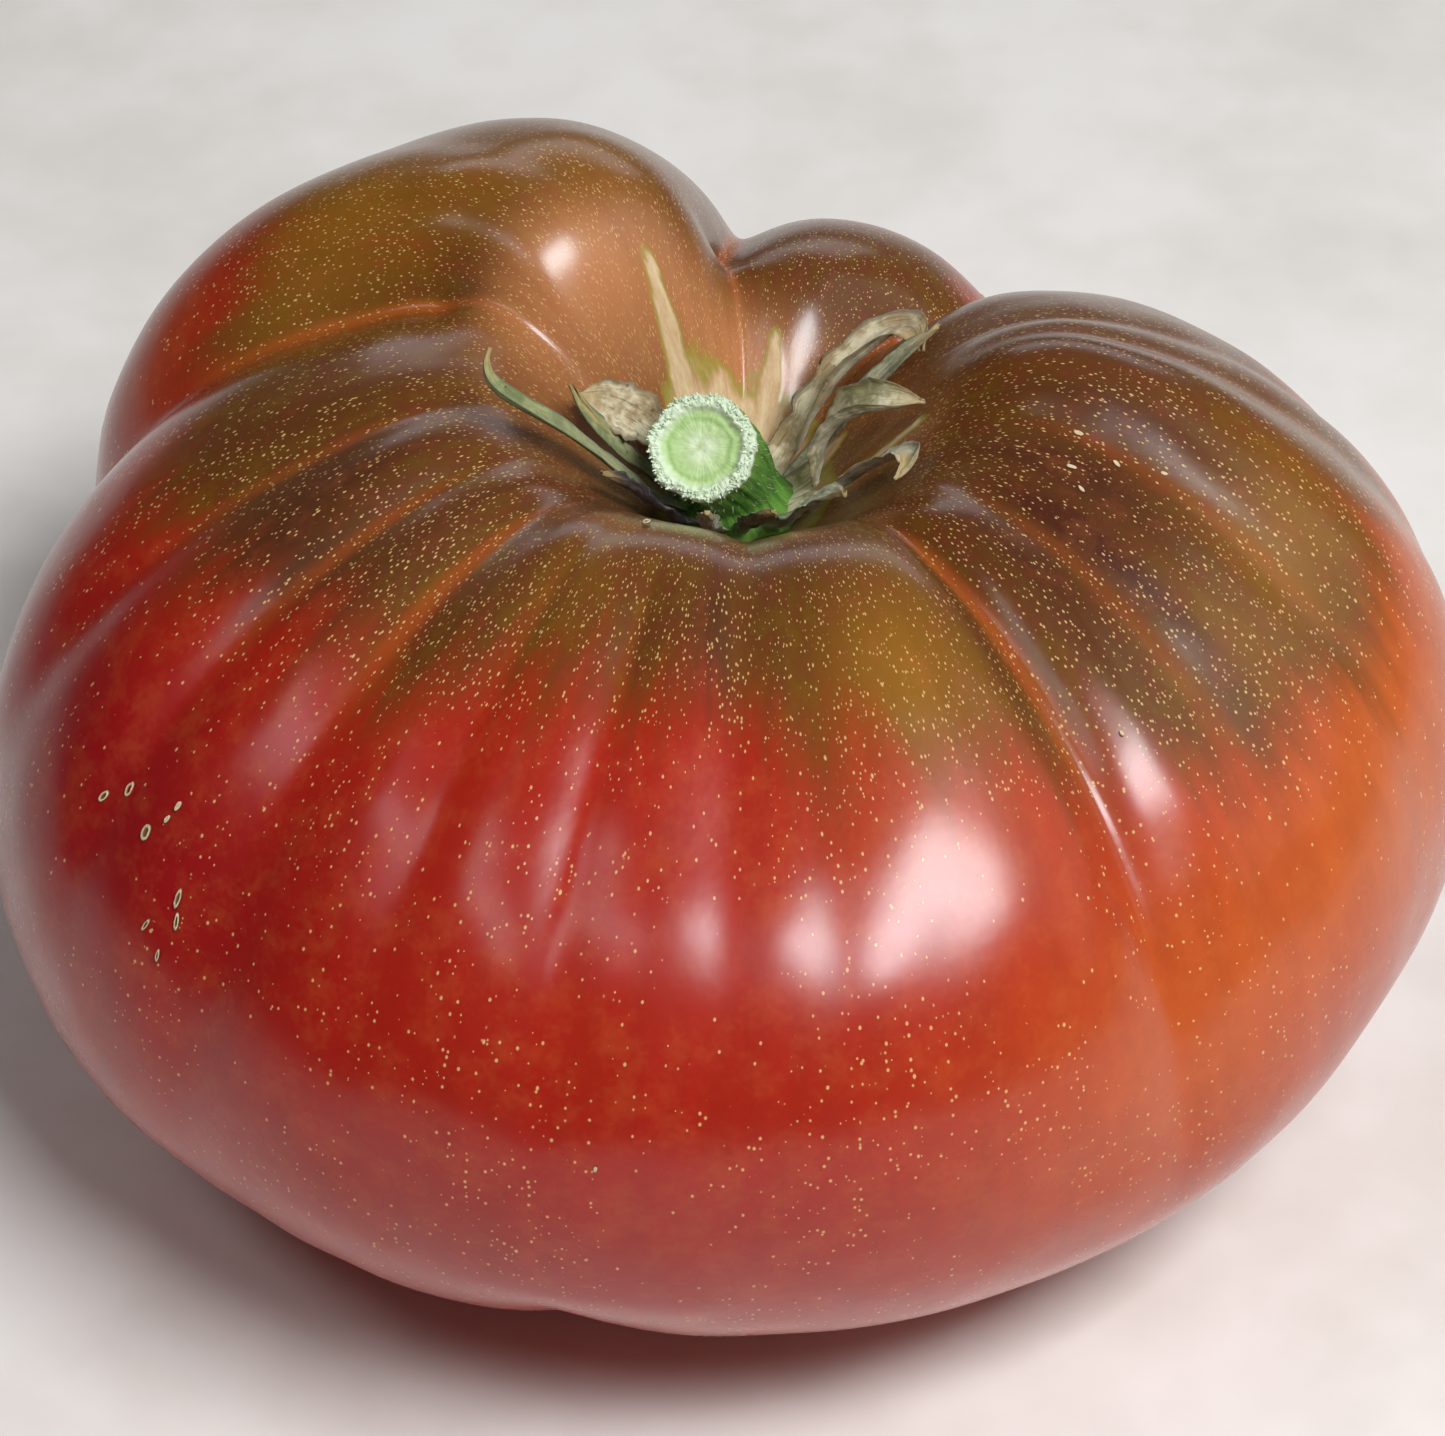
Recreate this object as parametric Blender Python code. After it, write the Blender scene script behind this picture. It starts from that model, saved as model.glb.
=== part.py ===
"""A ribbed beefsteak tomato with its cut stem and dry sepals, resting on a small flat spot.

Metres, +Z up. The origin is on the surface that the fruit rests on, under the middle of its footprint box.
Azimuths are in degrees seen from above: 0 is the front (-Y), 90 is the right-hand side (+X), 180 is the back.
A share runs down the skin: 0 is the middle of the stem cavity, 0.5 the widest level, 1 the middle of the base.
"""

import math

import bpy
import bmesh
from mathutils import Matrix, Vector

MM = 0.001

# ---------------------------------------------------------------- the fruit's driving sizes
FRUIT_RADIUS = 56.0 * MM        # mean radius at the widest level
FRUIT_HEIGHT = 68.0 * MM        # mean height of the shoulders' dome above the resting spot
WIDEST_SHARE = 0.47             # height of the widest level, as a share of the shoulders' height
SHOULDER_FULLNESS = 2.25        # superellipse exponent above the widest level: 2 is an ellipse
BELLY_FULLNESS = 2.15           # the same below it
CAVITY_DEPTH = 20.0 * MM        # the stem cavity's floor below the dome of the shoulders
CAVITY_RADIUS = 15.0 * MM       # where the cavity's wall is about steepest
CAVITY_STEEPNESS = 2.2          # 2 is a soft bowl, more is a steeper wall
CAVITY_BACK = 7.5 * MM          # how far the cavity sits behind the middle of the fruit
CAVITY_RIGHT = 1.2 * MM         # and to the right of it
SPOT_RADIUS = 15.0 * MM         # the flat spot that the fruit rests on
SCAR_RADIUS = 3.5 * MM          # the blossom scar, a dimple in the middle of the flat spot
SCAR_DEPTH = 0.8 * MM

# Azimuth, then radius, shoulder height and cavity radius as shares of the mean: one station each 30 degrees.
OUTLINE = (
    (0, 0.985, 1.00, 0.90),
    (30, 0.99, 1.00, 0.99),
    (60, 1.015, 1.00, 1.05),
    (90, 1.055, 1.05, 1.00),
    (120, 1.00, 0.96, 1.00),
    (150, 0.90, 0.94, 0.95),
    (180, 0.955, 0.99, 0.88),
    (210, 1.07, 1.08, 0.80),
    (240, 1.145, 1.10, 0.80),
    (270, 1.075, 1.03, 0.90),
    (300, 1.05, 1.01, 1.00),
    (330, 1.01, 1.00, 0.96),
)

# The creases between the lobes. Azimuth, depth in mm, half-width in degrees, softness of the valley's line
# (0.2 is sharp), the share where it starts, and the shares between which it fades out.
CREASES = (
    (-141, 0.9, 6, 0.8, 0.05, 0.25, 0.75),
    (-108, 9.0, 13, 0.2, 0.02, 0.45, 0.90),
    (-78, 1.6, 5, 0.5, 0.06, 0.24, 0.55),
    (-60, 1.8, 5, 0.4, 0.06, 0.26, 0.55),
    (-45, 2.4, 7, 0.5, 0.04, 0.34, 0.70),
    (-30, 1.3, 5, 0.4, 0.07, 0.27, 0.50),
    (-15, 1.5, 5, 0.3, 0.08, 0.27, 0.50),
    (0, 1.0, 5, 0.5, 0.08, 0.25, 0.48),
    (3, 2.6, 14, 0.2, 0.00, 0.00, 0.36),
    (9, 0.6, 4, 0.6, 0.08, 0.24, 0.42),
    (39, 3.4, 5, 0.2, 0.04, 0.32, 0.64),
    (54, 1.4, 5, 0.6, 0.06, 0.24, 0.55),
    (72, 1.4, 5, 0.6, 0.06, 0.24, 0.55),
    (96, 1.3, 5, 0.6, 0.06, 0.25, 0.60),
    (108, 1.0, 4, 0.5, 0.05, 0.25, 0.60),
    (142, 7.0, 8, 0.25, 0.02, 0.40, 0.85),
    (176, 6.5, 8, 0.25, 0.02, 0.40, 0.85),
)

# ---------------------------------------------------------------- the stem and the sepals
GAP = 0.35 * MM                 # clearance between two pieces that rest on each other
STEM_RADIUS = 4.1 * MM          # at the cut
STEM_WAIST = 0.92               # narrowest part, as a share of the radius at the cut
FOOT_RADIUS = 5.6 * MM          # the stem's swollen foot on the cavity's floor
FOOT_HEIGHT = 3.0 * MM
STEM_REACH = Vector((-2.8, -4.8, 11.2)) * MM    # from the foot to the middle of the cut
STEM_RISE = Vector((-0.6, -0.4, 6.0)) * MM      # handle of the stem's bend
CUT_FACING = Vector((-0.12, -0.68, 0.72))       # the cut face looks forwards and up
FLUTES = 7
FLUTE_DEPTH = 0.07              # of the foot's radius

SEPAL_THICKNESS = 0.5 * MM
SEPAL_CUP = 0.35                # how far a sepal's edges curl up, as a share of its half-width

SEPAL_START = 1.6 * MM          # from the stem's foot to a sepal's root
SEPAL_LIFT = 1.2 * MM           # height of a sepal's root and tip above the skin
SEPAL_TIP = 0.35 * MM           # half-width at the tip
HOOK_START = 0.55               # share of the length where a sepal's hook begins
# Each sepal: azimuth of its root, heading as it leaves, sweep along the way and hook near the tip (degrees),
# length, height of its arch, rise of its tip and half-width (mm), and twist (degrees).
SEPALS = {
    "sepal_front_right": (4, 16, 24, 0, 5, 0.0, 0.0, 0.9, 0),
    "sepal_right_flap": (34, 30, 8, 0, 8, 0.5, 0.2, 1.3, -20),
    "sepal_right_folded": (62, 58, 0, -120, 13, 0.8, 0.2, 1.3, 20),
    "sepal_right_broad": (94, 78, -18, 0, 9, 2.8, 0.4, 1.9, 15),
    "sepal_right_strip": (118, 92, -10, 10, 11, 0.6, 1.4, 0.9, -20),
    "sepal_right_tall": (141, 108, -10, -110, 14, 2.0, 0.2, 1.5, 15),
    "sepal_back_left": (-112, -82, 26, 0, 7, 1.0, 0.0, 1.7, 10),
    "sepal_left_fork": (-86, -72, -10, -70, 8, 0.3, 0.8, 0.8, 0),
    "sepal_left_long": (-62, -62, -14, -110, 18, 0.3, 3.0, 0.9, 0),
    "sepal_left_dark": (-40, -46, -16, 0, 8, 0.0, 0.2, 1.0, 10),
    "sepal_front_left": (-17, -10, 14, 0, 5, -0.4, -0.4, 0.8, 0),
}

# ---------------------------------------------------------------- mesh fineness
SIDES = 120
SHOULDER_RINGS = 22
BELLY_RINGS = 14
SPOT_RINGS = (0.62, 0.38, 0.24, 0.12)   # rings inside the flat spot, as shares of its radius
STEM_SIDES = 28
STEM_RINGS = 9
SEPAL_SPANS = 12
ROUTE_STEPS = 48


def turned(azimuth):
    """Unit vector in plan for an azimuth in degrees."""
    angle = math.radians(azimuth)
    return math.sin(angle), -math.cos(angle)


def wrapped(degrees):
    return (degrees + 180) % 360 - 180


def smoothstep(low, high, value):
    share = min(1.0, max(0.0, (value - low) / (high - low)))
    return share * share * (3 - 2 * share)


def curved(before, here, after, beyond, share):
    """Catmull-Rom curve between two values, given their neighbours."""
    slope = (after - before) / 2
    next_slope = (beyond - here) / 2
    cube, square = share ** 3, share ** 2
    return (
        (2 * cube - 3 * square + 1) * here
        + (cube - 2 * square + share) * slope
        + (3 * square - 2 * cube) * after
        + (cube - square) * next_slope
    )


# ---------------------------------------------------------------- the fruit's skin
def station(azimuth, column):
    """The outline's value at an azimuth, on a smooth closed curve through its stations."""
    place = (azimuth % 360) * len(OUTLINE) / 360
    index = int(place)
    values = [OUTLINE[(index + offset) % len(OUTLINE)][column] for offset in (-1, 0, 1, 2)]
    return curved(*values, place - index)


def radius_at(azimuth):
    return FRUIT_RADIUS * station(azimuth, 1)


def smooth_point(azimuth, share):
    """A point of the skin without creases. The rings' middles move back towards the stem cavity."""
    radius = radius_at(azimuth)
    widest = FRUIT_HEIGHT * WIDEST_SHARE
    angle = math.pi * share
    if share <= 0.5:
        power = 2 / SHOULDER_FULLNESS
        height = FRUIT_HEIGHT * (1 + (station(azimuth, 2) - 1) * smoothstep(0.0, 0.15, share))
        reach = radius * math.sin(angle) ** power
        level = widest + (height - widest) * max(0.0, math.cos(angle)) ** power
        narrow = station(azimuth, 3)
        steepness = CAVITY_STEEPNESS / math.sqrt(narrow)
        level -= CAVITY_DEPTH * math.exp(-((reach / (CAVITY_RADIUS * narrow)) ** steepness))
    else:
        power = 2 / BELLY_FULLNESS
        cut = (SPOT_RADIUS / radius) ** BELLY_FULLNESS
        belly = widest / (1 - cut) ** (1 / BELLY_FULLNESS)
        reach = radius * max(0.0, math.sin(angle)) ** power
        level = widest - belly * max(0.0, -math.cos(angle)) ** power
    x, y = turned(azimuth)
    offset = 1 - smoothstep(0.0, 0.5, share)
    return Vector((x * reach + CAVITY_RIGHT * offset, y * reach + CAVITY_BACK * offset, level))


def outwards(azimuth, share):
    """Unit normal of the skin without creases."""
    share = max(share, 0.004)
    down = smooth_point(azimuth, min(1.0, share + 0.004)) - smooth_point(azimuth, share - 0.004)
    across = smooth_point(azimuth + 1, share) - smooth_point(azimuth - 1, share)
    return down.cross(across).normalized()


def crease_depth(azimuth, share):
    total = 0.0
    for place, depth, width, softness, start, fade, end in CREASES:
        away = abs(wrapped(azimuth - place)) / width
        cusp = math.exp(softness - math.hypot(away, softness))
        along = smoothstep(start, start + 0.1, share) * (1 - smoothstep(fade, end, share))
        total += depth * MM * cusp * along
    return total


def skin_point(azimuth, share):
    """A point of the fruit's skin: the smooth point, moved in by the creases."""
    return smooth_point(azimuth, share) - outwards(azimuth, share) * crease_depth(azimuth, share)


def shoulder_share(azimuth, reach):
    """The share at which the upper half has this reach from its ring's middle."""
    return math.asin((reach / radius_at(azimuth)) ** (SHOULDER_FULLNESS / 2)) / math.pi


def belly_share(azimuth, reach):
    return 1 - math.asin((reach / radius_at(azimuth)) ** (BELLY_FULLNESS / 2)) / math.pi


def above_skin(azimuth, reach, lift):
    """A point at a height over the skin near the stem, and the skin's normal there."""
    share = shoulder_share(azimuth, reach)
    normal = outwards(azimuth, share)
    return smooth_point(azimuth, share) + normal * lift, normal


# ---------------------------------------------------------------- meshes
def clear_scene():
    for old in list(bpy.data.objects):
        bpy.data.objects.remove(old, do_unlink=True)


def make_object(name, rings, start, end, colour, roughness):
    """A closed body through rings of points, with a point at each end, in its own material."""
    bm = bmesh.new()
    first = bm.verts.new(start)
    loops = [[bm.verts.new(point) for point in ring] for ring in rings]
    last = bm.verts.new(end)
    sides = len(rings[0])
    for side in range(sides):
        after = (side + 1) % sides
        bm.faces.new((first, loops[0][side], loops[0][after]))
        bm.faces.new((last, loops[-1][after], loops[-1][side]))
        for upper, lower in zip(loops, loops[1:]):
            bm.faces.new((upper[side], lower[side], lower[after], upper[after]))
    bmesh.ops.recalc_face_normals(bm, faces=bm.faces)
    mesh = bpy.data.meshes.new(name)
    bm.to_mesh(mesh)
    bm.free()
    mesh.shade_smooth()
    material = bpy.data.materials.new(name)
    material.use_nodes = True
    shader = material.node_tree.nodes["Principled BSDF"]
    shader.inputs["Base Color"].default_value = (*colour, 1)
    shader.inputs["Roughness"].default_value = roughness
    mesh.materials.append(material)
    made = bpy.data.objects.new(name, mesh)
    bpy.context.scene.collection.objects.link(made)
    return made


def make_fruit():
    azimuths = [360 * side / SIDES for side in range(SIDES)]
    rings = []
    for ring in range(1, SHOULDER_RINGS + 1):
        share = 0.5 * (ring / SHOULDER_RINGS) ** 1.4
        rings.append([skin_point(azimuth, share) for azimuth in azimuths])
    for ring in range(1, BELLY_RINGS):
        along = ring / BELLY_RINGS
        shares = [0.5 + (belly_share(azimuth, SPOT_RADIUS) - 0.5) * along for azimuth in azimuths]
        rings.append([skin_point(azimuth, share) for azimuth, share in zip(azimuths, shares)])
    for part_of_spot in (1.0, *SPOT_RINGS):
        reach = SPOT_RADIUS * part_of_spot
        level = SCAR_DEPTH if reach < SCAR_RADIUS else 0.0
        rings.append([Vector((*(reach * axis for axis in turned(azimuth)), level)) for azimuth in azimuths])
    start = skin_point(0, 0)
    return make_object("fruit", rings, start, Vector((0, 0, SCAR_DEPTH)), (0.42, 0.09, 0.05), 0.3)


def stem_ring(along):
    """One ring of the stem's side. along runs from the foot (0) to the cut (1)."""
    foot = smooth_point(0, 0) + Vector((0, 0, GAP))
    middle = foot + STEM_RISE * 2 * along * (1 - along) + STEM_REACH * along * along
    facing = Vector((0, 0, 1)).lerp(CUT_FACING.normalized(), smoothstep(0.15, 1.0, along)).normalized()
    right = Vector((1, 0, 0))
    right = (right - facing * right.dot(facing)).normalized()
    front = right.cross(facing)
    swell = 1 - smoothstep(0.0, FOOT_HEIGHT / STEM_REACH.z * 1.6, along)
    neck = STEM_RADIUS * (STEM_WAIST + (1 - STEM_WAIST) * smoothstep(0.4, 0.95, along))
    radius = neck + (FOOT_RADIUS - neck) * swell
    points = []
    for side in range(STEM_SIDES):
        angle = math.tau * side / STEM_SIDES
        flute = 1 + FLUTE_DEPTH * (0.3 + 0.7 * swell) * math.cos(FLUTES * angle)
        reach = radius * flute
        points.append(middle + right * math.sin(angle) * reach + front * math.cos(angle) * reach)
    return points


def make_stem():
    """The foot's underside follows the cavity's floor at the gap, and the side rises from its edge."""
    rings = []
    for part_of_foot in (0.35, 0.7):
        ring = []
        for side in range(STEM_SIDES):
            ring.append(above_skin(360 * side / STEM_SIDES, FOOT_RADIUS * part_of_foot, GAP)[0])
        rings.append(ring)
    edge = stem_ring(0.0)
    floor = above_skin(0, 0.01 * MM, 0.0)[0]
    under = []
    for point in edge:
        reach = math.hypot(point.x - floor.x, point.y - floor.y)
        azimuth = math.degrees(math.atan2(point.x - floor.x, floor.y - point.y))
        under.append(above_skin(azimuth, reach * 0.92, GAP)[0])
    rings.append(under)
    rings.extend(stem_ring(0.2 + 0.8 * ring / STEM_RINGS) for ring in range(STEM_RINGS + 1))
    cut = rings[-1]
    cut_middle = sum(cut, Vector()) / len(cut)
    rings.append([cut_middle + (point - cut_middle) * 0.6 for point in cut])
    start = above_skin(0, 0.01 * MM, GAP)[0]
    return make_object("stem", rings, start, cut_middle, (0.14, 0.30, 0.07), 0.6)


def sepal_route(root, heading, sweep, hook, length):
    """A sepal's line in plan, stepped along from its root while its heading turns."""
    x, y = ((FOOT_RADIUS + SEPAL_START) * share for share in turned(root))
    route = [(x, y)]
    step = length * MM / ROUTE_STEPS
    for count in range(ROUTE_STEPS):
        along = (count + 0.5) / ROUTE_STEPS
        ahead = turned(heading + sweep * along + hook * smoothstep(HOOK_START, 1, along))
        x, y = x + ahead[0] * step, y + ahead[1] * step
        route.append((x, y))
    return route


def make_sepal(name, root, heading, sweep, hook, length, arch, rise, half_width, twist):
    """A thin cupped blade, swept along a line that keeps its height above the skin."""
    route = sepal_route(root, heading, sweep, hook, length)
    middles, normals, widths, twists = [], [], [], []
    for span in range(SEPAL_SPANS + 1):
        along = span / SEPAL_SPANS
        x, y = route[round(along * ROUTE_STEPS)]
        lift = SEPAL_LIFT + (arch * math.sin(math.pi * along) + rise * along ** 2) * MM
        middle, normal = above_skin(math.degrees(math.atan2(x, -y)), math.hypot(x, y), lift)
        middles.append(middle)
        normals.append(normal)
        widths.append(max(half_width * MM * (0.75 + 0.6 * along) * (1 - along ** 4), SEPAL_TIP))
        twists.append(twist * math.sin(math.pi * along))
    rings = []
    for span, middle in enumerate(middles):
        ahead = middles[min(span + 1, SEPAL_SPANS)] - middles[max(span - 1, 0)]
        side = ahead.cross(normals[span]).normalized()
        side.rotate(Matrix.Rotation(math.radians(twists[span]), 3, ahead.normalized()))
        face = side.cross(ahead).normalized()
        width = widths[span]
        ring = []
        for across, thick in ((-1, 0), (-0.5, 1), (0, 1), (0.5, 1), (1, 0), (0.5, -1), (0, -1), (-0.5, -1)):
            rise_here = SEPAL_CUP * width * across ** 2 + SEPAL_THICKNESS / 2 * thick
            ring.append(middle + side * width * across + face * rise_here)
        rings.append(ring)
    ends = [sum(ring, Vector()) / len(ring) for ring in (rings[0], rings[-1])]
    return make_object(name, rings, ends[0], ends[1], (0.42, 0.36, 0.20), 0.8)


def centre_footprint(objects):
    """Moves every piece sideways, so that the middle of the whole thing's footprint box is the origin."""
    corners = [vertex.co for made in objects for vertex in made.data.vertices]
    middle = [(min(c[axis] for c in corners) + max(c[axis] for c in corners)) / 2 for axis in (0, 1)]
    for made in objects:
        made.data.transform(Matrix.Translation((-middle[0], -middle[1], 0)))


clear_scene()
pieces = [make_fruit(), make_stem()]
for sepal_name, sepal_sizes in SEPALS.items():
    pieces.append(make_sepal(sepal_name, *sepal_sizes))
centre_footprint(pieces)
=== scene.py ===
"""A ribbed beefsteak tomato: skin, cut stem and dry sepals, built over the fixed CAD frame.

Metres, +Z up, resting on z = 0. Azimuths are in degrees seen from above: 0 is the front (-Y), 90 is the
right-hand side (+X), 180 is the back. A share runs down the skin: 0 is the middle of the stem cavity,
0.5 the widest level and 1 the middle of the base.
"""

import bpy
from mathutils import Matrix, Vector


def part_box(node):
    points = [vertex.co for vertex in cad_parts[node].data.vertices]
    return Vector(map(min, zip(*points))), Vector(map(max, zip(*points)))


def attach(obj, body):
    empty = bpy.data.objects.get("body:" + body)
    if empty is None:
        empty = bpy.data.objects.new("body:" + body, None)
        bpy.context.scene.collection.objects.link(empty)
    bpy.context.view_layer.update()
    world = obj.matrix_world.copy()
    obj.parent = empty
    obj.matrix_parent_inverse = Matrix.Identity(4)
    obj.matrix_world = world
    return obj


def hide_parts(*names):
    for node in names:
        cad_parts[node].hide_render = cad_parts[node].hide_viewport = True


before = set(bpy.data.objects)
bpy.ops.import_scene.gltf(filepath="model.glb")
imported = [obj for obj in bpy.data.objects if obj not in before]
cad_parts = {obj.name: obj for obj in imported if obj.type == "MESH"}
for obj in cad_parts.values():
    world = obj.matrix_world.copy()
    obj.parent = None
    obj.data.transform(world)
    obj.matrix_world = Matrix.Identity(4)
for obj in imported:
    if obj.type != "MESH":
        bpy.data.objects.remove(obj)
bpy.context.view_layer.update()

import math

import bpy
import numpy as np
from bpy.props import FloatProperty, FloatVectorProperty, PointerProperty
from mathutils import Matrix, Vector, noise

bl_info = {
    "name": "Ribbed tomato",
    "version": (1, 0, 0),
    "blender": (4, 5, 0),
    "location": "3D View > Sidebar > Tomato",
    "description": "Builds a ribbed tomato with its cut stem and dry sepals",
    "category": "Add Mesh",
}

MM = 0.001

# Azimuth, then radius, shoulder height and cavity radius as shares of the mean: one station each 30 degrees.
OUTLINE = (
    (0, 0.985, 1.00, 0.90),
    (30, 0.99, 1.00, 0.99),
    (60, 1.015, 1.00, 1.05),
    (90, 1.055, 1.05, 1.00),
    (120, 1.00, 0.96, 1.00),
    (150, 0.90, 0.94, 0.95),
    (180, 0.955, 0.99, 0.88),
    (210, 1.07, 1.08, 0.80),
    (240, 1.145, 1.10, 0.80),
    (270, 1.075, 1.03, 0.90),
    (300, 1.05, 1.01, 1.00),
    (330, 1.01, 1.00, 0.96),
)

# The creases between the lobes. Azimuth, depth in mm, half-width in degrees, softness of the valley's line
# (0.2 is sharp), the share where it starts, and the shares between which it fades out.
CREASES = (
    (-141, 0.9, 6, 0.8, 0.05, 0.25, 0.75),
    (-108, 9.0, 13, 0.2, 0.02, 0.45, 0.90),
    (-78, 1.6, 5, 0.5, 0.06, 0.24, 0.55),
    (-60, 1.8, 5, 0.4, 0.06, 0.26, 0.55),
    (-45, 2.4, 7, 0.5, 0.04, 0.34, 0.70),
    (-30, 1.3, 5, 0.4, 0.07, 0.27, 0.50),
    (-15, 1.5, 5, 0.3, 0.08, 0.27, 0.50),
    (0, 1.0, 5, 0.5, 0.08, 0.25, 0.48),
    (3, 2.6, 14, 0.2, 0.00, 0.00, 0.36),
    (9, 0.6, 4, 0.6, 0.08, 0.24, 0.42),
    (39, 3.4, 5, 0.2, 0.04, 0.32, 0.64),
    (54, 1.4, 5, 0.6, 0.06, 0.24, 0.55),
    (72, 1.4, 5, 0.6, 0.06, 0.24, 0.55),
    (96, 1.3, 5, 0.6, 0.06, 0.25, 0.60),
    (108, 1.0, 4, 0.5, 0.05, 0.25, 0.60),
    (142, 7.0, 8, 0.25, 0.02, 0.40, 0.85),
    (176, 6.5, 8, 0.25, 0.02, 0.40, 0.85),
)

# Shallow folds that run up the belly from the blossom scar: azimuth, depth in mm, half-width in degrees and
# top share.
BASE_FOLDS = (
    (-14, 1.5, 5, 0.56),
    (-62, 0.9, 6, 0.72),
    (-104, 1.4, 7, 0.66),
    (-150, 0.8, 6, 0.74),
    (-176, 1.0, 6, 0.72),
    (142, 1.2, 6, 0.68),
    (98, 0.8, 5, 0.74),
    (58, 0.9, 6, 0.72),
    (24, 0.6, 6, 0.76),
)

# Where the green of the shoulders ends, as a share, at each 30 degrees from the front.
GREEN_EDGE = (0.215, 0.27, 0.33, 0.36, 0.31, 0.28, 0.27, 0.27, 0.28, 0.27, 0.25, 0.215)

# Patches of colour on the skin, some of them painted highlight: azimuth, share, half-width in degrees,
# half-height as a share, strength.
PATCHES = {
    "crimson": (
        (-55, 0.37, 24, 0.10, 0.9),
        (-80, 0.42, 22, 0.12, 0.7),
        (-112, 0.27, 9, 0.13, 0.6),
        (-10, 0.50, 26, 0.10, 0.35),
    ),
    "orange": (
        (72, 0.40, 26, 0.12, 1.0),
        (38, 0.46, 18, 0.14, 0.6),
        (104, 0.36, 24, 0.12, 0.8),
        (-124, 0.34, 18, 0.07, 0.5),
        # The next two patches, beside the stem cavity, brighten its back wall: painted highlight.
        (-130, 0.055, 26, 0.03, 0.8),
        (172, 0.06, 30, 0.035, 0.7),
        (20, 0.27, 12, 0.05, 0.4),
    ),
    "dark": (
        (-62, 0.225, 9, 0.05, 0.9),
        (-70, 0.17, 14, 0.06, 0.6),
        (52, 0.15, 10, 0.06, 0.7),
        (66, 0.15, 8, 0.06, 0.7),
        (84, 0.15, 14, 0.05, 0.5),
        (14, 0.10, 10, 0.04, 0.6),
        (-44, 0.08, 10, 0.03, 0.8),
        (-5, 0.16, 7, 0.06, 0.45),
        (158, 0.10, 16, 0.06, 0.5),
    ),
    # Painted highlight: a peach glow on the walls of the stem cavity, mostly on its back wall.
    "painted_highlight": (
        (-125, 0.062, 36, 0.026, 0.9),
        (174, 0.05, 34, 0.024, 0.9),
        (84, 0.05, 14, 0.02, 0.4),
    ),
    "gold": (
        (22, 0.20, 11, 0.06, 0.9),
        (74, 0.26, 18, 0.05, 0.6),
        (-124, 0.20, 18, 0.08, 0.9),
        (-150, 0.12, 16, 0.05, 0.5),
        (-26, 0.14, 8, 0.04, 0.3),
    ),
}

# Dark streaks beside the creases: azimuth, top share, end share, half-width in degrees, strength.
STREAKS = (
    (48, 0.09, 0.29, 3.0, 0.8),
    (58, 0.12, 0.33, 2.2, 0.9),
    (66, 0.08, 0.30, 2.6, 0.6),
    (34.5, 0.12, 0.27, 2.2, 0.8),
    (78, 0.08, 0.27, 3.2, 0.6),
    (89, 0.07, 0.22, 3.0, 0.6),
    (-3, 0.09, 0.26, 2.4, 0.6),
    (5, 0.08, 0.22, 2.0, 0.5),
    (-20, 0.10, 0.22, 2.4, 0.4),
    (-37, 0.06, 0.24, 3.0, 0.7),
    (-53, 0.07, 0.27, 3.0, 0.7),
    (-70, 0.06, 0.26, 3.4, 0.6),
    (-86, 0.08, 0.28, 3.4, 0.5),
)

# The corky arms on the skin round the stem: azimuth, reach of the tip and half-width of the root in mm.
CORK_ARMS = ((-151, 15.0, 1.5), (165, 14.0, 1.5), (-172, 10.0, 1.8), (82, 15.0, 0.7), (118, 10.0, 0.9))

# Trails of corky marks on the skin: azimuth, share of the first and of the last, how many, length and width
# of the first in mm, and 1 for rings or 0 for flecks.
CORK_TRAILS = (
    (-60, 0.35, 0.365, 2, 1.4, 0.7, 1),
    (-56, 0.36, 0.36, 1, 1.4, 0.9, 1),
    (-53, 0.335, 0.345, 2, 0.9, 0.45, 0),
    (-50, 0.38, 0.42, 4, 1.7, 0.5, 1),
    (-22, 0.09, 0.09, 1, 1.2, 0.6, 1),
    (72, 0.14, 0.21, 4, 0.9, 0.4, 0),
    (65, 0.145, 0.155, 2, 0.9, 0.35, 0),
    (44, 0.26, 0.26, 1, 0.5, 0.3, 0),
    (-9, 0.45, 0.45, 1, 0.5, 0.3, 0),
    (150, 0.33, 0.35, 2, 1.2, 0.6, 1),
    (-141, 0.42, 0.42, 1, 1.0, 0.5, 0),
)

# ---------------------------------------------------------------- the sepals
# Each sepal: azimuth of its root, heading as it leaves, sweep along the way and hook near the tip (degrees),
# length, height of its arch, rise of its tip and half-width (mm), and twist (degrees).
SEPALS = {
    "sepal_front_right": (4, 16, 24, 0, 5, 0.0, 0.0, 0.9, 0),
    "sepal_right_flap": (34, 30, 8, 0, 8, 0.5, 0.2, 1.3, -20),
    "sepal_right_folded": (62, 58, 0, -120, 13, 0.8, 0.2, 1.3, 20),
    "sepal_right_broad": (94, 78, -18, 0, 9, 2.8, 0.4, 1.9, 15),
    "sepal_right_strip": (118, 92, -10, 10, 11, 0.6, 1.4, 0.9, -20),
    "sepal_right_tall": (141, 108, -10, -110, 14, 2.0, 0.2, 1.5, 15),
    "sepal_back_left": (-112, -82, 26, 0, 7, 1.0, 0.0, 1.7, 10),
    "sepal_left_fork": (-86, -72, -10, -70, 8, 0.3, 0.8, 0.8, 0),
    "sepal_left_long": (-62, -62, -14, -110, 18, 0.3, 3.0, 0.9, 0),
    "sepal_left_dark": (-40, -46, -16, 0, 8, 0.0, 0.2, 1.0, 10),
    "sepal_front_left": (-17, -10, 14, 0, 5, -0.4, -0.4, 0.8, 0),
}

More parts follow.
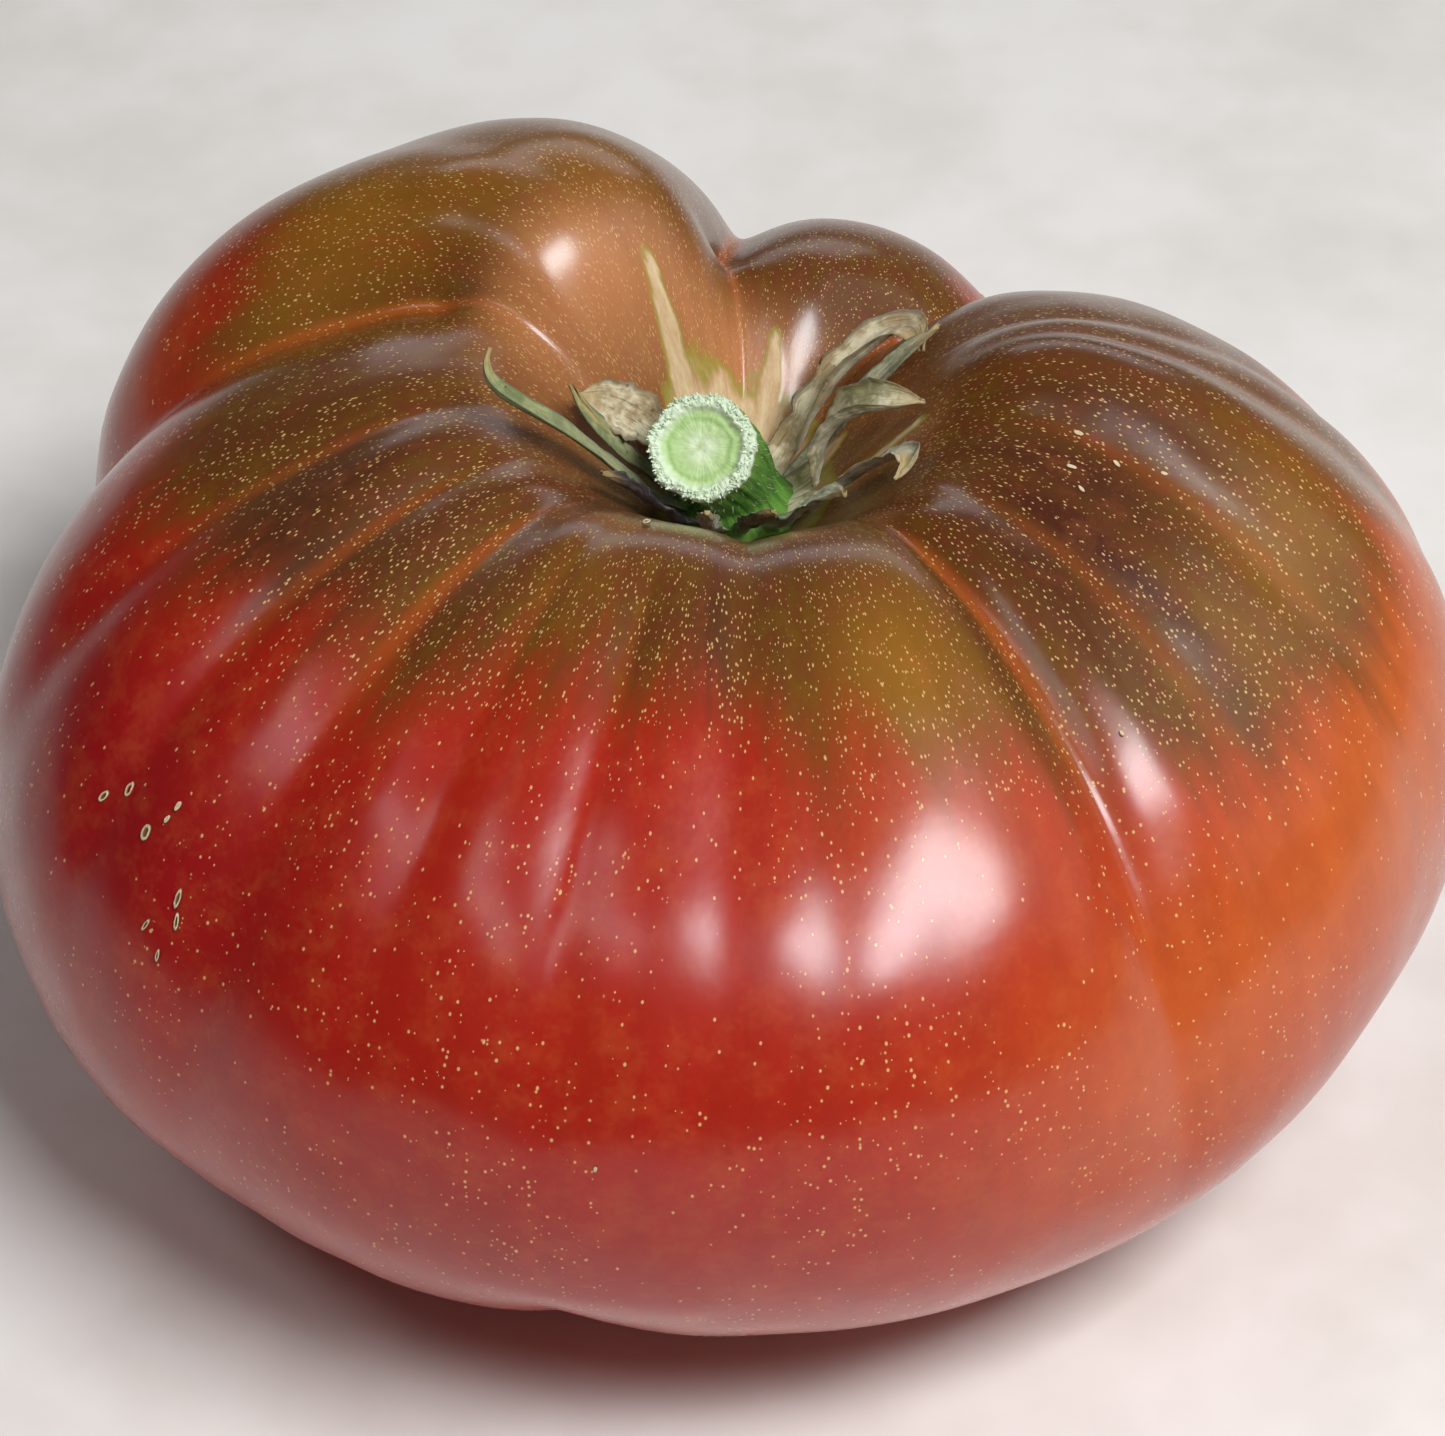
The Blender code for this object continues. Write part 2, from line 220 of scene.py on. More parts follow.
# Each sepal's finish, roll of its edges in radians, crinkle in mm, raggedness of its edges and depth of a
# forked tip.
SEPAL_LOOKS = {
    "sepal_front_right": ("dark_green", 1.1, 0.35, 0.30, 0.25),
    "sepal_right_flap": ("grey_green", 1.1, 0.38, 0.26, 0.0),
    "sepal_right_folded": ("cream", 1.2, 0.40, 0.26, 0.35),
    "sepal_right_strip": ("grey_green", 1.3, 0.22, 0.20, 0.15),
    "sepal_right_tall": ("brown_cream", 1.4, 0.42, 0.28, 0.0),
    "sepal_right_broad": ("cream", 1.3, 0.34, 0.18, 0.0),
    "sepal_back_left": ("brown_cream", 1.3, 0.28, 0.20, 0.0),
    "sepal_left_fork": ("pale_green", 1.0, 0.15, 0.15, 0.45),
    "sepal_left_long": ("pale_green", 1.5, 0.14, 0.12, 0.0),
    "sepal_left_dark": ("purple_black", 1.2, 0.38, 0.35, 0.2),
    "sepal_front_left": ("grey_green", 1.0, 0.25, 0.20, 0.0),
}

# A sepal finish: body, second tone and edge colours (display values), share of the second tone.
SEPAL_FINISHES = {
    "dark_green": ((86, 96, 50), (150, 150, 104), (46, 50, 26), 0.50),
    "grey_green": ((146, 148, 112), (196, 190, 156), (84, 86, 50), 0.55),
    "pale_green": ((122, 132, 84), (164, 164, 112), (88, 92, 52), 0.50),
    "cream": ((218, 206, 172), (146, 142, 98), (122, 104, 62), 0.40),
    "brown_cream": ((166, 142, 104), (216, 202, 168), (92, 72, 36), 0.50),
    "purple_black": ((58, 44, 46), (92, 74, 70), (34, 28, 26), 0.40),
}


def srgb(red, green, blue):
    """Linear colour from display values of 0 to 255."""
    made = []
    for value in (red, green, blue):
        value /= 255
        made.append(value / 12.92 if value <= 0.04045 else ((value + 0.055) / 1.055) ** 2.4)
    return tuple(made)


def length(name, description, millimetres):
    return FloatProperty(
        name=name, description=description, default=millimetres * MM, min=0, precision=5,
        unit="LENGTH", subtype="DISTANCE",
    )


def factor(name, description, value, most=1.0):
    return FloatProperty(name=name, description=description, default=value, min=0, max=most, subtype="FACTOR")


def number(name, description, value):
    return FloatProperty(name=name, description=description, default=value, precision=4)


def tint(name, description, display):
    return FloatVectorProperty(
        name=name, description=description, default=srgb(*display), size=3, min=0, max=1, subtype="COLOR"
    )


class TomatoSizes(bpy.types.PropertyGroup):
    """The sizes that drive the fruit, the stem and the sepals."""

    fruit_radius: length("Fruit radius", "Mean radius at the widest level", 56)
    fruit_height: length("Fruit height", "Mean height of the shoulders above the floor", 68)
    widest_share: factor("Widest level", "Height of the widest level as a share of the height", 0.47)
    shoulder_fullness: number("Shoulder fullness", "2 is an ellipse, more is squarer", 2.25)
    belly_fullness: number("Belly fullness", "2 is an ellipse, more is squarer", 2.15)
    cavity_depth: length("Cavity depth", "Depth of the stem cavity below the shoulders' dome", 20)
    cavity_radius: length("Cavity radius", "Where the cavity's wall is steepest", 15)
    cavity_steepness: number("Cavity steepness", "2 is a soft bowl, more is a steeper wall", 2.2)
    cavity_back: length("Cavity back", "How far the cavity sits behind the fruit's middle", 7.5)
    cavity_right: length("Cavity right", "How far the cavity sits right of the fruit's middle", 1.2)
    spot_radius: length("Resting spot", "Radius of the flat spot that the fruit rests on", 15)
    scar_radius: length("Blossom scar", "Radius of the corky scar under the fruit", 3.5)
    scar_depth: length("Scar depth", "Depth of the dimple round the blossom scar", 0.8)
    lump_height: length("Lumps", "Height of the skin's soft unevenness", 0.35)
    speckle_spacing: length("Speckle spacing", "Mean distance between the golden speckles", 0.36)
    stem_radius: length("Stem radius", "Radius of the stem at the cut", 4.1)
    stem_waist: factor("Stem waist", "Narrowest part as a share of the radius at the cut", 0.92)
    foot_radius: length("Foot radius", "Radius of the stem's swollen foot", 5.6)
    foot_height: length("Foot height", "Height of the stem's swollen foot", 3)
    hair_length: length("Hair length", "Length of the short hairs on the stem", 0.7)
    gap: length("Clearance", "Clearance under the stem's foot", 0.35)
    sepal_thickness: length("Sepal thickness", "Thickness of a dry sepal", 0.32)


class TomatoColours(bpy.types.PropertyGroup):
    """The colours of the fruit, the stem and the floor."""

    red: tint("Red", "Ripe red of the belly", (170, 34, 16))
    crimson: tint("Crimson", "Pinker red of the left side", (150, 20, 22))
    orange: tint("Orange", "Orange of the right side and the crease lines", (196, 92, 36))
    olive: tint("Olive", "Green-brown of the shoulders", (106, 74, 20))
    gold: tint("Mustard", "Mustard of the sunny lobes", (146, 100, 26))
    dark: tint("Dark streak", "Dark brown-purple streaks beside the creases", (66, 38, 22))
    speckle: tint("Speckle", "Golden speckles in the skin", (238, 196, 128))
    cork: tint("Cork", "Dry scar and marks", (232, 212, 172))
    cork_edge: tint("Cork edge", "Yellow-green rim of the scar", (150, 150, 52))
    stem_green: tint("Stem green", "Bright green of the stem's side", (98, 150, 56))
    stem_dark: tint("Stem shade", "Dark green between the stem's flutes", (58, 100, 38))
    cut_green: tint("Cut green", "Pale green of the cut face", (186, 210, 146))
    cut_pith: tint("Cut pith", "Whitish middle of the cut face", (226, 236, 200))
    frost: tint("Frost", "Dry white-green rim of the cut", (222, 232, 206))
    floor: tint("Floor", "Plain pale floor", (244, 238, 231))


def sizes():
    return bpy.context.scene.tomato_sizes


def colours():
    return bpy.context.scene.tomato_colours


# ---------------------------------------------------------------- curves and noise
def wrapped(degrees):
    return (degrees + 180) % 360 - 180


def smoothstep(low, high, value):
    share = np.clip((value - low) / (high - low), 0.0, 1.0)
    return share * share * (3 - 2 * share)


def curved(before, here, after, beyond, share):
    """Catmull-Rom curve between two values, given their neighbours."""
    slope = (after - before) / 2
    next_slope = (beyond - here) / 2
    cube, square = share ** 3, share ** 2
    return (
        (2 * cube - 3 * square + 1) * here
        + (cube - 2 * square + share) * slope
        + (3 * square - 2 * cube) * after
        + (cube - square) * next_slope
    )


def round_the_fruit(values, azimuth):
    """A smooth closed curve through values that are evenly spaced from the front."""
    values = np.asarray(values, float)
    place = (np.asarray(azimuth, float) % 360) * len(values) / 360
    index = place.astype(int)
    near = [values[(index + offset) % len(values)] for offset in (-1, 0, 1, 2)]
    return curved(*near, place - index)


def lumps(points, size, seed=0.0, detail=0):
    """Smooth noise of about -1 to 1 at each point, with lumps of the given size in metres."""
    scale = 1 / size
    shift = Vector((seed * 7.31, seed * -3.17, seed * 5.53))
    flat = points.reshape(-1, 3)
    made = np.empty(len(flat))
    for index, point in enumerate(flat):
        place = Vector(point) * scale + shift
        value = noise.noise(place)
        for octave in range(detail):
            value += noise.noise(place * 2.1 ** (octave + 1)) * 0.5 ** (octave + 1)
        made[index] = value
    return made.reshape(points.shape[:-1])


# ---------------------------------------------------------------- the fruit's shape
def turned(azimuth):
    angle = np.radians(azimuth)
    return np.sin(angle), -np.cos(angle)


def radius_at(azimuth):
    return sizes().fruit_radius * round_the_fruit([row[1] for row in OUTLINE], azimuth)


def smooth_point(azimuth, share):
    """Points of the skin without creases. The rings' middles move back towards the stem cavity."""
    size = sizes()
    azimuth, share = np.broadcast_arrays(np.asarray(azimuth, float), np.asarray(share, float))
    radius = radius_at(azimuth)
    widest = size.fruit_height * size.widest_share
    angle = np.pi * share
    upper_power, lower_power = 2 / size.shoulder_fullness, 2 / size.belly_fullness
    station = round_the_fruit([row[2] for row in OUTLINE], azimuth)
    height = size.fruit_height * (1 + (station - 1) * smoothstep(0.0, 0.15, share))
    sine, cosine = np.maximum(0.0, np.sin(angle)), np.cos(angle)
    upper_reach = radius * sine ** upper_power
    narrow = round_the_fruit([row[3] for row in OUTLINE], azimuth)
    steepness = size.cavity_steepness / np.sqrt(narrow)
    bowl = np.exp(-((upper_reach / (size.cavity_radius * narrow)) ** steepness))
    upper = widest + (height - widest) * np.maximum(0.0, cosine) ** upper_power - size.cavity_depth * bowl
    cut = (size.spot_radius / radius) ** size.belly_fullness
    belly = widest / (1 - cut) ** (1 / size.belly_fullness)
    lower_reach = radius * sine ** lower_power
    lower = widest - belly * np.maximum(0.0, -cosine) ** lower_power
    above = share <= 0.5
    reach, level = np.where(above, upper_reach, lower_reach), np.where(above, upper, lower)
    x, y = turned(azimuth)
    offset = 1 - smoothstep(0.0, 0.5, share)
    right, back = size.cavity_right * offset, size.cavity_back * offset
    return np.stack((x * reach + right, y * reach + back, level), -1)


def outwards(azimuth, share):
    """Unit normals of the skin without creases."""
    share = np.clip(share, 0.004, 0.996)
    down = smooth_point(azimuth, share + 0.004) - smooth_point(azimuth, share - 0.004)
    across = smooth_point(azimuth + 1, share) - smooth_point(azimuth - 1, share)
    normal = np.cross(down, across)
    return normal / np.linalg.norm(normal, axis=-1, keepdims=True)


def crease_depth(azimuth, share):
    total = np.zeros(np.broadcast(azimuth, share).shape)
    for place, depth, width, softness, start, fade, end in CREASES:
        away = np.abs(wrapped(azimuth - place)) / width
        cusp = np.exp(softness - np.hypot(away, softness))
        along = smoothstep(start, start + 0.1, share) * (1 - smoothstep(fade, end, share))
        total = total + depth * MM * cusp * along
    for place, depth, width, top in BASE_FOLDS:
        away = np.abs(wrapped(azimuth - place)) / width
        cusp = np.exp(0.3 - np.hypot(away, 0.3))
        faded = 1 - smoothstep(0.84, 0.97, share)
        total = total + depth * MM * cusp * smoothstep(top, top + 0.1, share) * faded
    return total


def skin_point(azimuth, share):
    return smooth_point(azimuth, share) - outwards(azimuth, share) * crease_depth(azimuth, share)[..., None]


def shoulder_share(azimuth, reach):
    """The share at which the upper half has this reach from its ring's middle."""
    return np.arcsin((reach / radius_at(azimuth)) ** (sizes().shoulder_fullness / 2)) / np.pi


def above_skin(azimuth, reach, lift):
    """Points at a height over the skin near the stem, and the skin's normals there."""
    share = shoulder_share(azimuth, reach)
    normal = outwards(azimuth, share)
    return smooth_point(azimuth, share) + normal * np.asarray(lift)[..., None], normal


def frame_shift():
    """From the fruit's own middle to the frame, whose origin is under the middle of the whole footprint."""
    azimuth = np.arange(-180, 180, 3.0)
    rings = np.concatenate([skin_point(azimuth, share) for share in np.linspace(0.4, 0.6, 21)])
    low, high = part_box("fruit")
    own = (rings.min(0) + rings.max(0)) / 2
    return Vector(((low.x + high.x) / 2 - own[0], (low.y + high.y) / 2 - own[1], 0))


# ---------------------------------------------------------------- meshes
def closed_body(name, rings, start, end, values=None, vectors=None):
    """A closed mesh object through rings of points, with one point at each end.

    values and vectors hold a named number or vector for each point of each ring.
    """
    count, sides = rings.shape[:2]
    points = np.concatenate(([start], rings.reshape(-1, 3), [end]))
    grid = 1 + np.arange(count * sides).reshape(count, sides)
    after = np.roll(grid, -1, axis=1)
    last = count * sides + 1
    quads = np.stack((grid[:-1], grid[1:], after[1:], after[:-1]), -1).reshape(-1, 4)
    faces = [(0, a, b) for a, b in zip(grid[0], after[0])]
    faces += quads.tolist()
    faces += [(last, b, a) for a, b in zip(grid[-1], after[-1])]
    mesh = bpy.data.meshes.new(name)
    mesh.from_pydata(points.tolist(), [], [tuple(int(i) for i in face) for face in faces])
    signed = np.einsum("ij,ij->i", points[quads[:, 0]], np.cross(points[quads[:, 1]] - points[quads[:, 0]],
                                                                   points[quads[:, 2]] - points[quads[:, 0]]))
    if signed.sum() < 0:
        mesh.flip_normals()
    mesh.shade_smooth()
    for title, grid_values in (values or {}).items():
        full = np.concatenate(([grid_values[0].mean()], grid_values.reshape(-1), [grid_values[-1].mean()]))
        made = mesh.attributes.new(title, "FLOAT", "POINT")
        made.data.foreach_set("value", full.astype(np.float32))
    for title, grid_values in (vectors or {}).items():
        flat = grid_values.reshape(-1, 3)
        full = np.concatenate(([grid_values[0].mean(0)], flat, [grid_values[-1].mean(0)]))
        made = mesh.attributes.new(title, "FLOAT_VECTOR", "POINT")
        made.data.foreach_set("vector", full.astype(np.float32).ravel())
    return add_object(name, mesh)


def add_object(name, mesh):
    made = bpy.data.objects.new(name, mesh)
    bpy.context.scene.collection.objects.link(made)
    return made


def place_piece(piece, material, slot, *nodes):
    """Puts a piece in the frame: its material, body and the nodes that it stands for. The slot is not used.
    """
    piece.data.materials.clear()
    piece.data.materials.append(material)
    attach(piece, "root")
    if nodes:
        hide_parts(*nodes)


def join_bodies(name, bodies, values=None):
    """One mesh object from (points, faces) pairs, with named numbers for the points of each."""
    points, faces, count = [], [], 0
    for body_points, body_faces in bodies:
        points.extend(body_points)
        faces.extend(tuple(index + count for index in face) for face in body_faces)
        count += len(body_points)
    mesh = bpy.data.meshes.new(name)
    mesh.from_pydata([tuple(point) for point in points], [], faces)
    mesh.shade_smooth()
    for title, numbers in (values or {}).items():
        made = mesh.attributes.new(title, "FLOAT", "POINT")
        made.data.foreach_set("value", np.asarray(numbers, np.float32))
    return add_object(name, mesh)


# ---------------------------------------------------------------- shader nodes
def put(tree, kind, inputs=None, **settings):
    """Adds a node. Inputs are numbers, colours or the sockets to join to them."""
    made = tree.nodes.new(kind)
    for key, value in settings.items():
        setattr(made, key, value)
    for key, value in (inputs or {}).items():
        if isinstance(value, bpy.types.NodeSocket):
            tree.links.new(value, made.inputs[key])
        elif isinstance(value, tuple) and len(value) == 3 and made.inputs[key].type == "RGBA":
            made.inputs[key].default_value = (*value, 1)
        else:
            made.inputs[key].default_value = value
    return made


def calculate(tree, operation, first, second=0.0, clamp=False):
    made = put(tree, "ShaderNodeMath", {0: first, 1: second}, operation=operation, use_clamp=clamp)
    return made.outputs[0]


def remap(tree, value, low, high, to_low=0.0, to_high=1.0):
    inputs = {"Value": value, "From Min": low, "From Max": high, "To Min": to_low, "To Max": to_high}
    return put(tree, "ShaderNodeMapRange", inputs, interpolation_type="SMOOTHSTEP").outputs["Result"]


def blend_colours(tree, share, first, second, blend_type="MIX"):
    made = tree.nodes.new("ShaderNodeMix")
    made.data_type, made.blend_type, made.clamp_factor = "RGBA", blend_type, True
    for socket, value in ((made.inputs[0], share), (made.inputs[6], first), (made.inputs[7], second)):
        if isinstance(value, bpy.types.NodeSocket):
            tree.links.new(value, socket)
        else:
            socket.default_value = (*value, 1) if isinstance(value, (tuple, list)) else value
    return made.outputs[2]


def stored(tree, name, output="Fac"):
    return put(tree, "ShaderNodeAttribute", attribute_name=name).outputs[output]


def object_place(tree):
    return put(tree, "ShaderNodeTexCoord").outputs["Object"]


def stretched(tree, place, scale):
    made = put(tree, "ShaderNodeVectorMath", {0: place, 1: scale}, operation="MULTIPLY")
    return made.outputs[0]


def cloudy(tree, place, scale, detail=2.0, roughness=0.5):
    inputs = {"Vector": place, "Scale": scale, "Detail": detail, "Roughness": roughness}
    return put(tree, "ShaderNodeTexNoise", inputs).outputs["Fac"]


def new_group(name, inputs, outputs):
    """A node group with named sockets: inputs give (name, socket type, default)."""
    group = bpy.data.node_groups.new(name, "ShaderNodeTree")
    for title, kind, default in inputs:
        socket = group.interface.new_socket(title, in_out="INPUT", socket_type=kind)
        if default is not None:
            socket.default_value = default
    for title, kind in outputs:
        group.interface.new_socket(title, in_out="OUTPUT", socket_type=kind)
    return group, group.nodes.new("NodeGroupInput").outputs, group.nodes.new("NodeGroupOutput").inputs


def effect(tree, name, **inputs):
    """Places an effect group in a material, with this material's own values."""
    made = tree.nodes.new("ShaderNodeGroup")
    made.node_tree = effect_group(name)
    for key, value in inputs.items():
        socket = made.inputs[key.replace("_", " ").capitalize()]
        if isinstance(value, bpy.types.NodeSocket):
            tree.links.new(value, socket)
        else:
            socket.default_value = value
    return made.outputs


def effect_group(name):
    if name in bpy.data.node_groups:
        return bpy.data.node_groups[name]
    return {"Fine specks": specks_group, "Mottle": mottle_group, "Skin grain": grain_group}[name]()


def specks_group():
    """Small separate dots, each of its own size: their mask and their height."""
    group, given, out = new_group(
        "Fine specks",
        [("Vector", "NodeSocketVector", None), ("Spacing", "NodeSocketFloat", 0.0006),
         ("Size", "NodeSocketFloat", 0.2), ("Amount", "NodeSocketFloat", 0.5)],
        [("Mask", "NodeSocketFloat"), ("Height", "NodeSocketFloat")],
    )
    scale = calculate(group, "DIVIDE", 1.0, given["Spacing"])
    cells = put(group, "ShaderNodeTexVoronoi", {"Vector": given["Vector"], "Scale": scale}, feature="F1")
    chance = put(group, "ShaderNodeSeparateColor", {"Color": cells.outputs["Color"]})
    present = calculate(group, "LESS_THAN", chance.outputs[0], given["Amount"])
    reach = calculate(group, "MULTIPLY", given["Size"], remap(group, chance.outputs[1], 0, 1, 0.55, 1.25))
    ratio = calculate(group, "DIVIDE", cells.outputs["Distance"], reach)
    dot = remap(group, ratio, 1.0, 0.45)
    mask = calculate(group, "MULTIPLY", dot, present)
    group.links.new(mask, out["Mask"])
    group.links.new(calculate(group, "POWER", mask, 0.7), out["Height"])
    return group


def mottle_group():
    """Soft clouds at two sizes, with a contrast that keeps the middle at a half."""
    group, given, out = new_group(
        "Mottle",
        [("Vector", "NodeSocketVector", None), ("Scale", "NodeSocketFloat", 100.0),
         ("Contrast", "NodeSocketFloat", 1.0)],
        [("Value", "NodeSocketFloat")],
    )
    broad = cloudy(group, given["Vector"], given["Scale"], 3.0, 0.55)
    fine = cloudy(group, given["Vector"], calculate(group, "MULTIPLY", given["Scale"], 5.3), 2.0, 0.5)
    broad_part = calculate(group, "MULTIPLY", broad, 0.72)
    both = calculate(group, "ADD", broad_part, calculate(group, "MULTIPLY", fine, 0.28))
    away = calculate(group, "MULTIPLY", calculate(group, "SUBTRACT", both, 0.5), given["Contrast"])
    group.links.new(calculate(group, "ADD", away, 0.5, clamp=True), out["Value"])
    return group


def grain_group():
    """The height of a fine unevenness, such as skin cells or dry fibre."""
    group, given, out = new_group(
        "Skin grain",
        [("Vector", "NodeSocketVector", None), ("Scale", "NodeSocketFloat", 900.0),
         ("Coarse share", "NodeSocketFloat", 0.4)],
        [("Height", "NodeSocketFloat")],
    )
    cells = put(
        group, "ShaderNodeTexVoronoi", {"Vector": given["Vector"], "Scale": given["Scale"]},
        feature="SMOOTH_F1",
    )
    coarse = cloudy(group, given["Vector"], calculate(group, "MULTIPLY", given["Scale"], 0.22), 2.0)
    fine_share = calculate(group, "SUBTRACT", 1.0, given["Coarse share"])
    fine = calculate(group, "MULTIPLY", cells.outputs["Distance"], fine_share)
    both = calculate(group, "ADD", fine, calculate(group, "MULTIPLY", coarse, given["Coarse share"]))
    group.links.new(both, out["Height"])
    return group


def new_material(name, **constants):
    """A material and its shader, with the sockets that are the same all over set on the shader."""
    material = bpy.data.materials.new(name)
    material.use_nodes = True
    shader = material.node_tree.nodes["Principled BSDF"]
    for key, value in constants.items():
        shader.inputs[key.replace("_", " ").title().replace("Ior", "IOR")].default_value = value
    return material, material.node_tree, shader


def bump(tree, height, strength, distance, before=None):
    inputs = {"Height": height, "Strength": strength, "Distance": distance}
    if before is not None:
        inputs["Normal"] = before
    return put(tree, "ShaderNodeBump", inputs).outputs["Normal"]


# ---------------------------------------------------------------- the fruit
SKIN_COLUMNS = 392
SHOULDER_ROWS = 150
BELLY_ROWS = 92


def skin_columns():
    """Azimuths round the fruit, closer together at the creases."""
    even = np.linspace(-180, 180, 2881)
    density = np.ones_like(even)
    for place, depth, width, *_ in CREASES:
        if width < 14:
            density += 1.6 * np.exp(-((wrapped(even - place) / 2.6) ** 2))
    total = np.concatenate(([0.0], np.cumsum((density[1:] + density[:-1]) / 2)))
    return np.interp(np.arange(SKIN_COLUMNS) / SKIN_COLUMNS * total[-1], total, even)


def skin_rows():
    upper = 0.5 * (np.arange(1, SHOULDER_ROWS + 1) / SHOULDER_ROWS) ** 1.25
    along = np.arange(1, BELLY_ROWS + 1) / (BELLY_ROWS + 1)
    return np.concatenate((upper, 0.5 + 0.5 * along ** 0.95))


def scar_dimple(points, azimuth):
    """The puckered dimple round the blossom scar, added where the fruit rests."""
    size = sizes()
    reach = np.hypot(points[..., 0], points[..., 1])
    dimple = np.exp(-((reach / size.scar_radius) ** 2.4)) * size.scar_depth
    beyond = smoothstep(0.2 * size.scar_radius, size.scar_radius, reach)
    pleats = 1 + 0.35 * np.cos(np.radians(azimuth) * 9) * beyond
    return dimple * pleats


def patch_value(patches, azimuth, share):
    total = np.zeros(np.broadcast(azimuth, share).shape)
    for at_azimuth, at_share, wide, tall, strength in patches:
        away = (wrapped(azimuth - at_azimuth) / wide) ** 2 + ((share - at_share) / tall) ** 2
        total = total + strength * np.exp(-away)
    return np.clip(total, 0, 1)


def cork_value(azimuth, share, points):
    """The dry scar behind the stem's foot, with its pointed arms."""
    middle = smooth_point(0, 0)
    reach = np.hypot(points[..., 0] - middle[0], points[..., 1] - middle[1]) / MM
    ragged = lumps(points, 1.6 * MM, 4.0, 2)
    behind = np.exp(-(wrapped(azimuth - 176) / 46) ** 4)
    ring = 1 - smoothstep(6.2 + 1.8 * behind, 8.2 + 3.0 * behind, reach + ragged * 1.2)
    total = ring * (0.55 + 0.45 * behind)
    for place, tip, wide in CORK_ARMS:
        across = np.abs(np.sin(np.radians(wrapped(azimuth - place)))) * reach
        facing = np.abs(wrapped(azimuth - place)) < 60
        along = np.clip((reach - 5.5) / (tip - 5.5), 0, 1)
        half = wide * (1 - along) ** 0.8 + 0.02
        body = 1 - smoothstep(0.55 * half, half + 0.35, across + ragged * 0.25)
        arm = body * (1 - smoothstep(tip - 1, tip, reach))
        total = np.maximum(total, arm * facing * (reach > 5))
    return np.clip(total, 0, 1) * (share < 0.5)


def make_fruit():
    size = sizes()
    azimuth, share = np.meshgrid(skin_columns(), skin_rows())
    points = skin_point(azimuth, share)
    normals = outwards(azimuth, share)
    unevenness = lumps(points, 17 * MM, 1.0) + 0.35 * lumps(points, 6 * MM, 2.0)
    calm = smoothstep(0.03, 0.14, share) * (1 - smoothstep(0.86, 0.95, share))
    points += normals * (unevenness * size.lump_height * calm)[..., None]
    cork = cork_value(azimuth, share, points)
    points += normals * (cork * (0.10 + 0.10 * lumps(points, 0.9 * MM, 9.0)) * MM)[..., None]
    rounding = 0.45 * MM
    level = points[..., 2]
    points[..., 2] = np.where(share > 0.5, (level + np.hypot(level, rounding)) / 2, level)
    points[..., 2] += np.where(share > 0.8, scar_dimple(points, azimuth), 0.0)

    steps = np.linalg.norm(np.diff(points, axis=0), axis=-1).mean(1)
    run = np.concatenate(([0.0], np.cumsum(steps)))[:, None] + np.zeros_like(azimuth)
    x, y = turned(azimuth)
    on_skin = np.stack((x * 44 * MM, y * 44 * MM, run), -1)
    crease = np.zeros_like(azimuth)
    for place, depth, width, softness, start, fade, end in CREASES:
        line = np.exp(-((wrapped(azimuth - place) / (1.6 + softness)) ** 2))
        line = line * min(1.0, depth / 3.0) * (width < 14)
        line = line * smoothstep(start, start + 0.1, share)
        crease = np.maximum(crease, line * (1 - smoothstep(fade, end, share)))
    streak = np.zeros_like(azimuth)
    for place, top, end, width, strength in STREAKS:
        band = np.exp(-((wrapped(azimuth - place) / width) ** 2)) * strength
        band = band * smoothstep(top - 0.03, top + 0.03, share)
        streak = np.maximum(streak, band * (1 - smoothstep(end - 0.08, end, share)))
    edge = round_the_fruit(GREEN_EDGE, azimuth)
    values = {
        "green_shoulder": 1 - smoothstep(edge - 0.10, edge + 0.07, share),
        "crease_line": crease,
        "dark_streak": streak,
        "cork": cork,
        "blossom_scar": 1 - smoothstep(0.35 * size.scar_radius, 0.9 * size.scar_radius,
                                       np.where(share > 0.5, np.hypot(points[..., 0], points[..., 1]), 1.0)),
    }
    for title, patches in PATCHES.items():
        values[title] = patch_value(patches, azimuth, share)
    start = points[0].mean(0)
    end = points[-1].mean(0)
    fruit = closed_body("fruit_skin", points, start, end, values, {"on_skin": on_skin})
    fruit.data.transform(Matrix.Translation(frame_shift()))
    place_piece(fruit, skin_material(), "skin", "fruit")


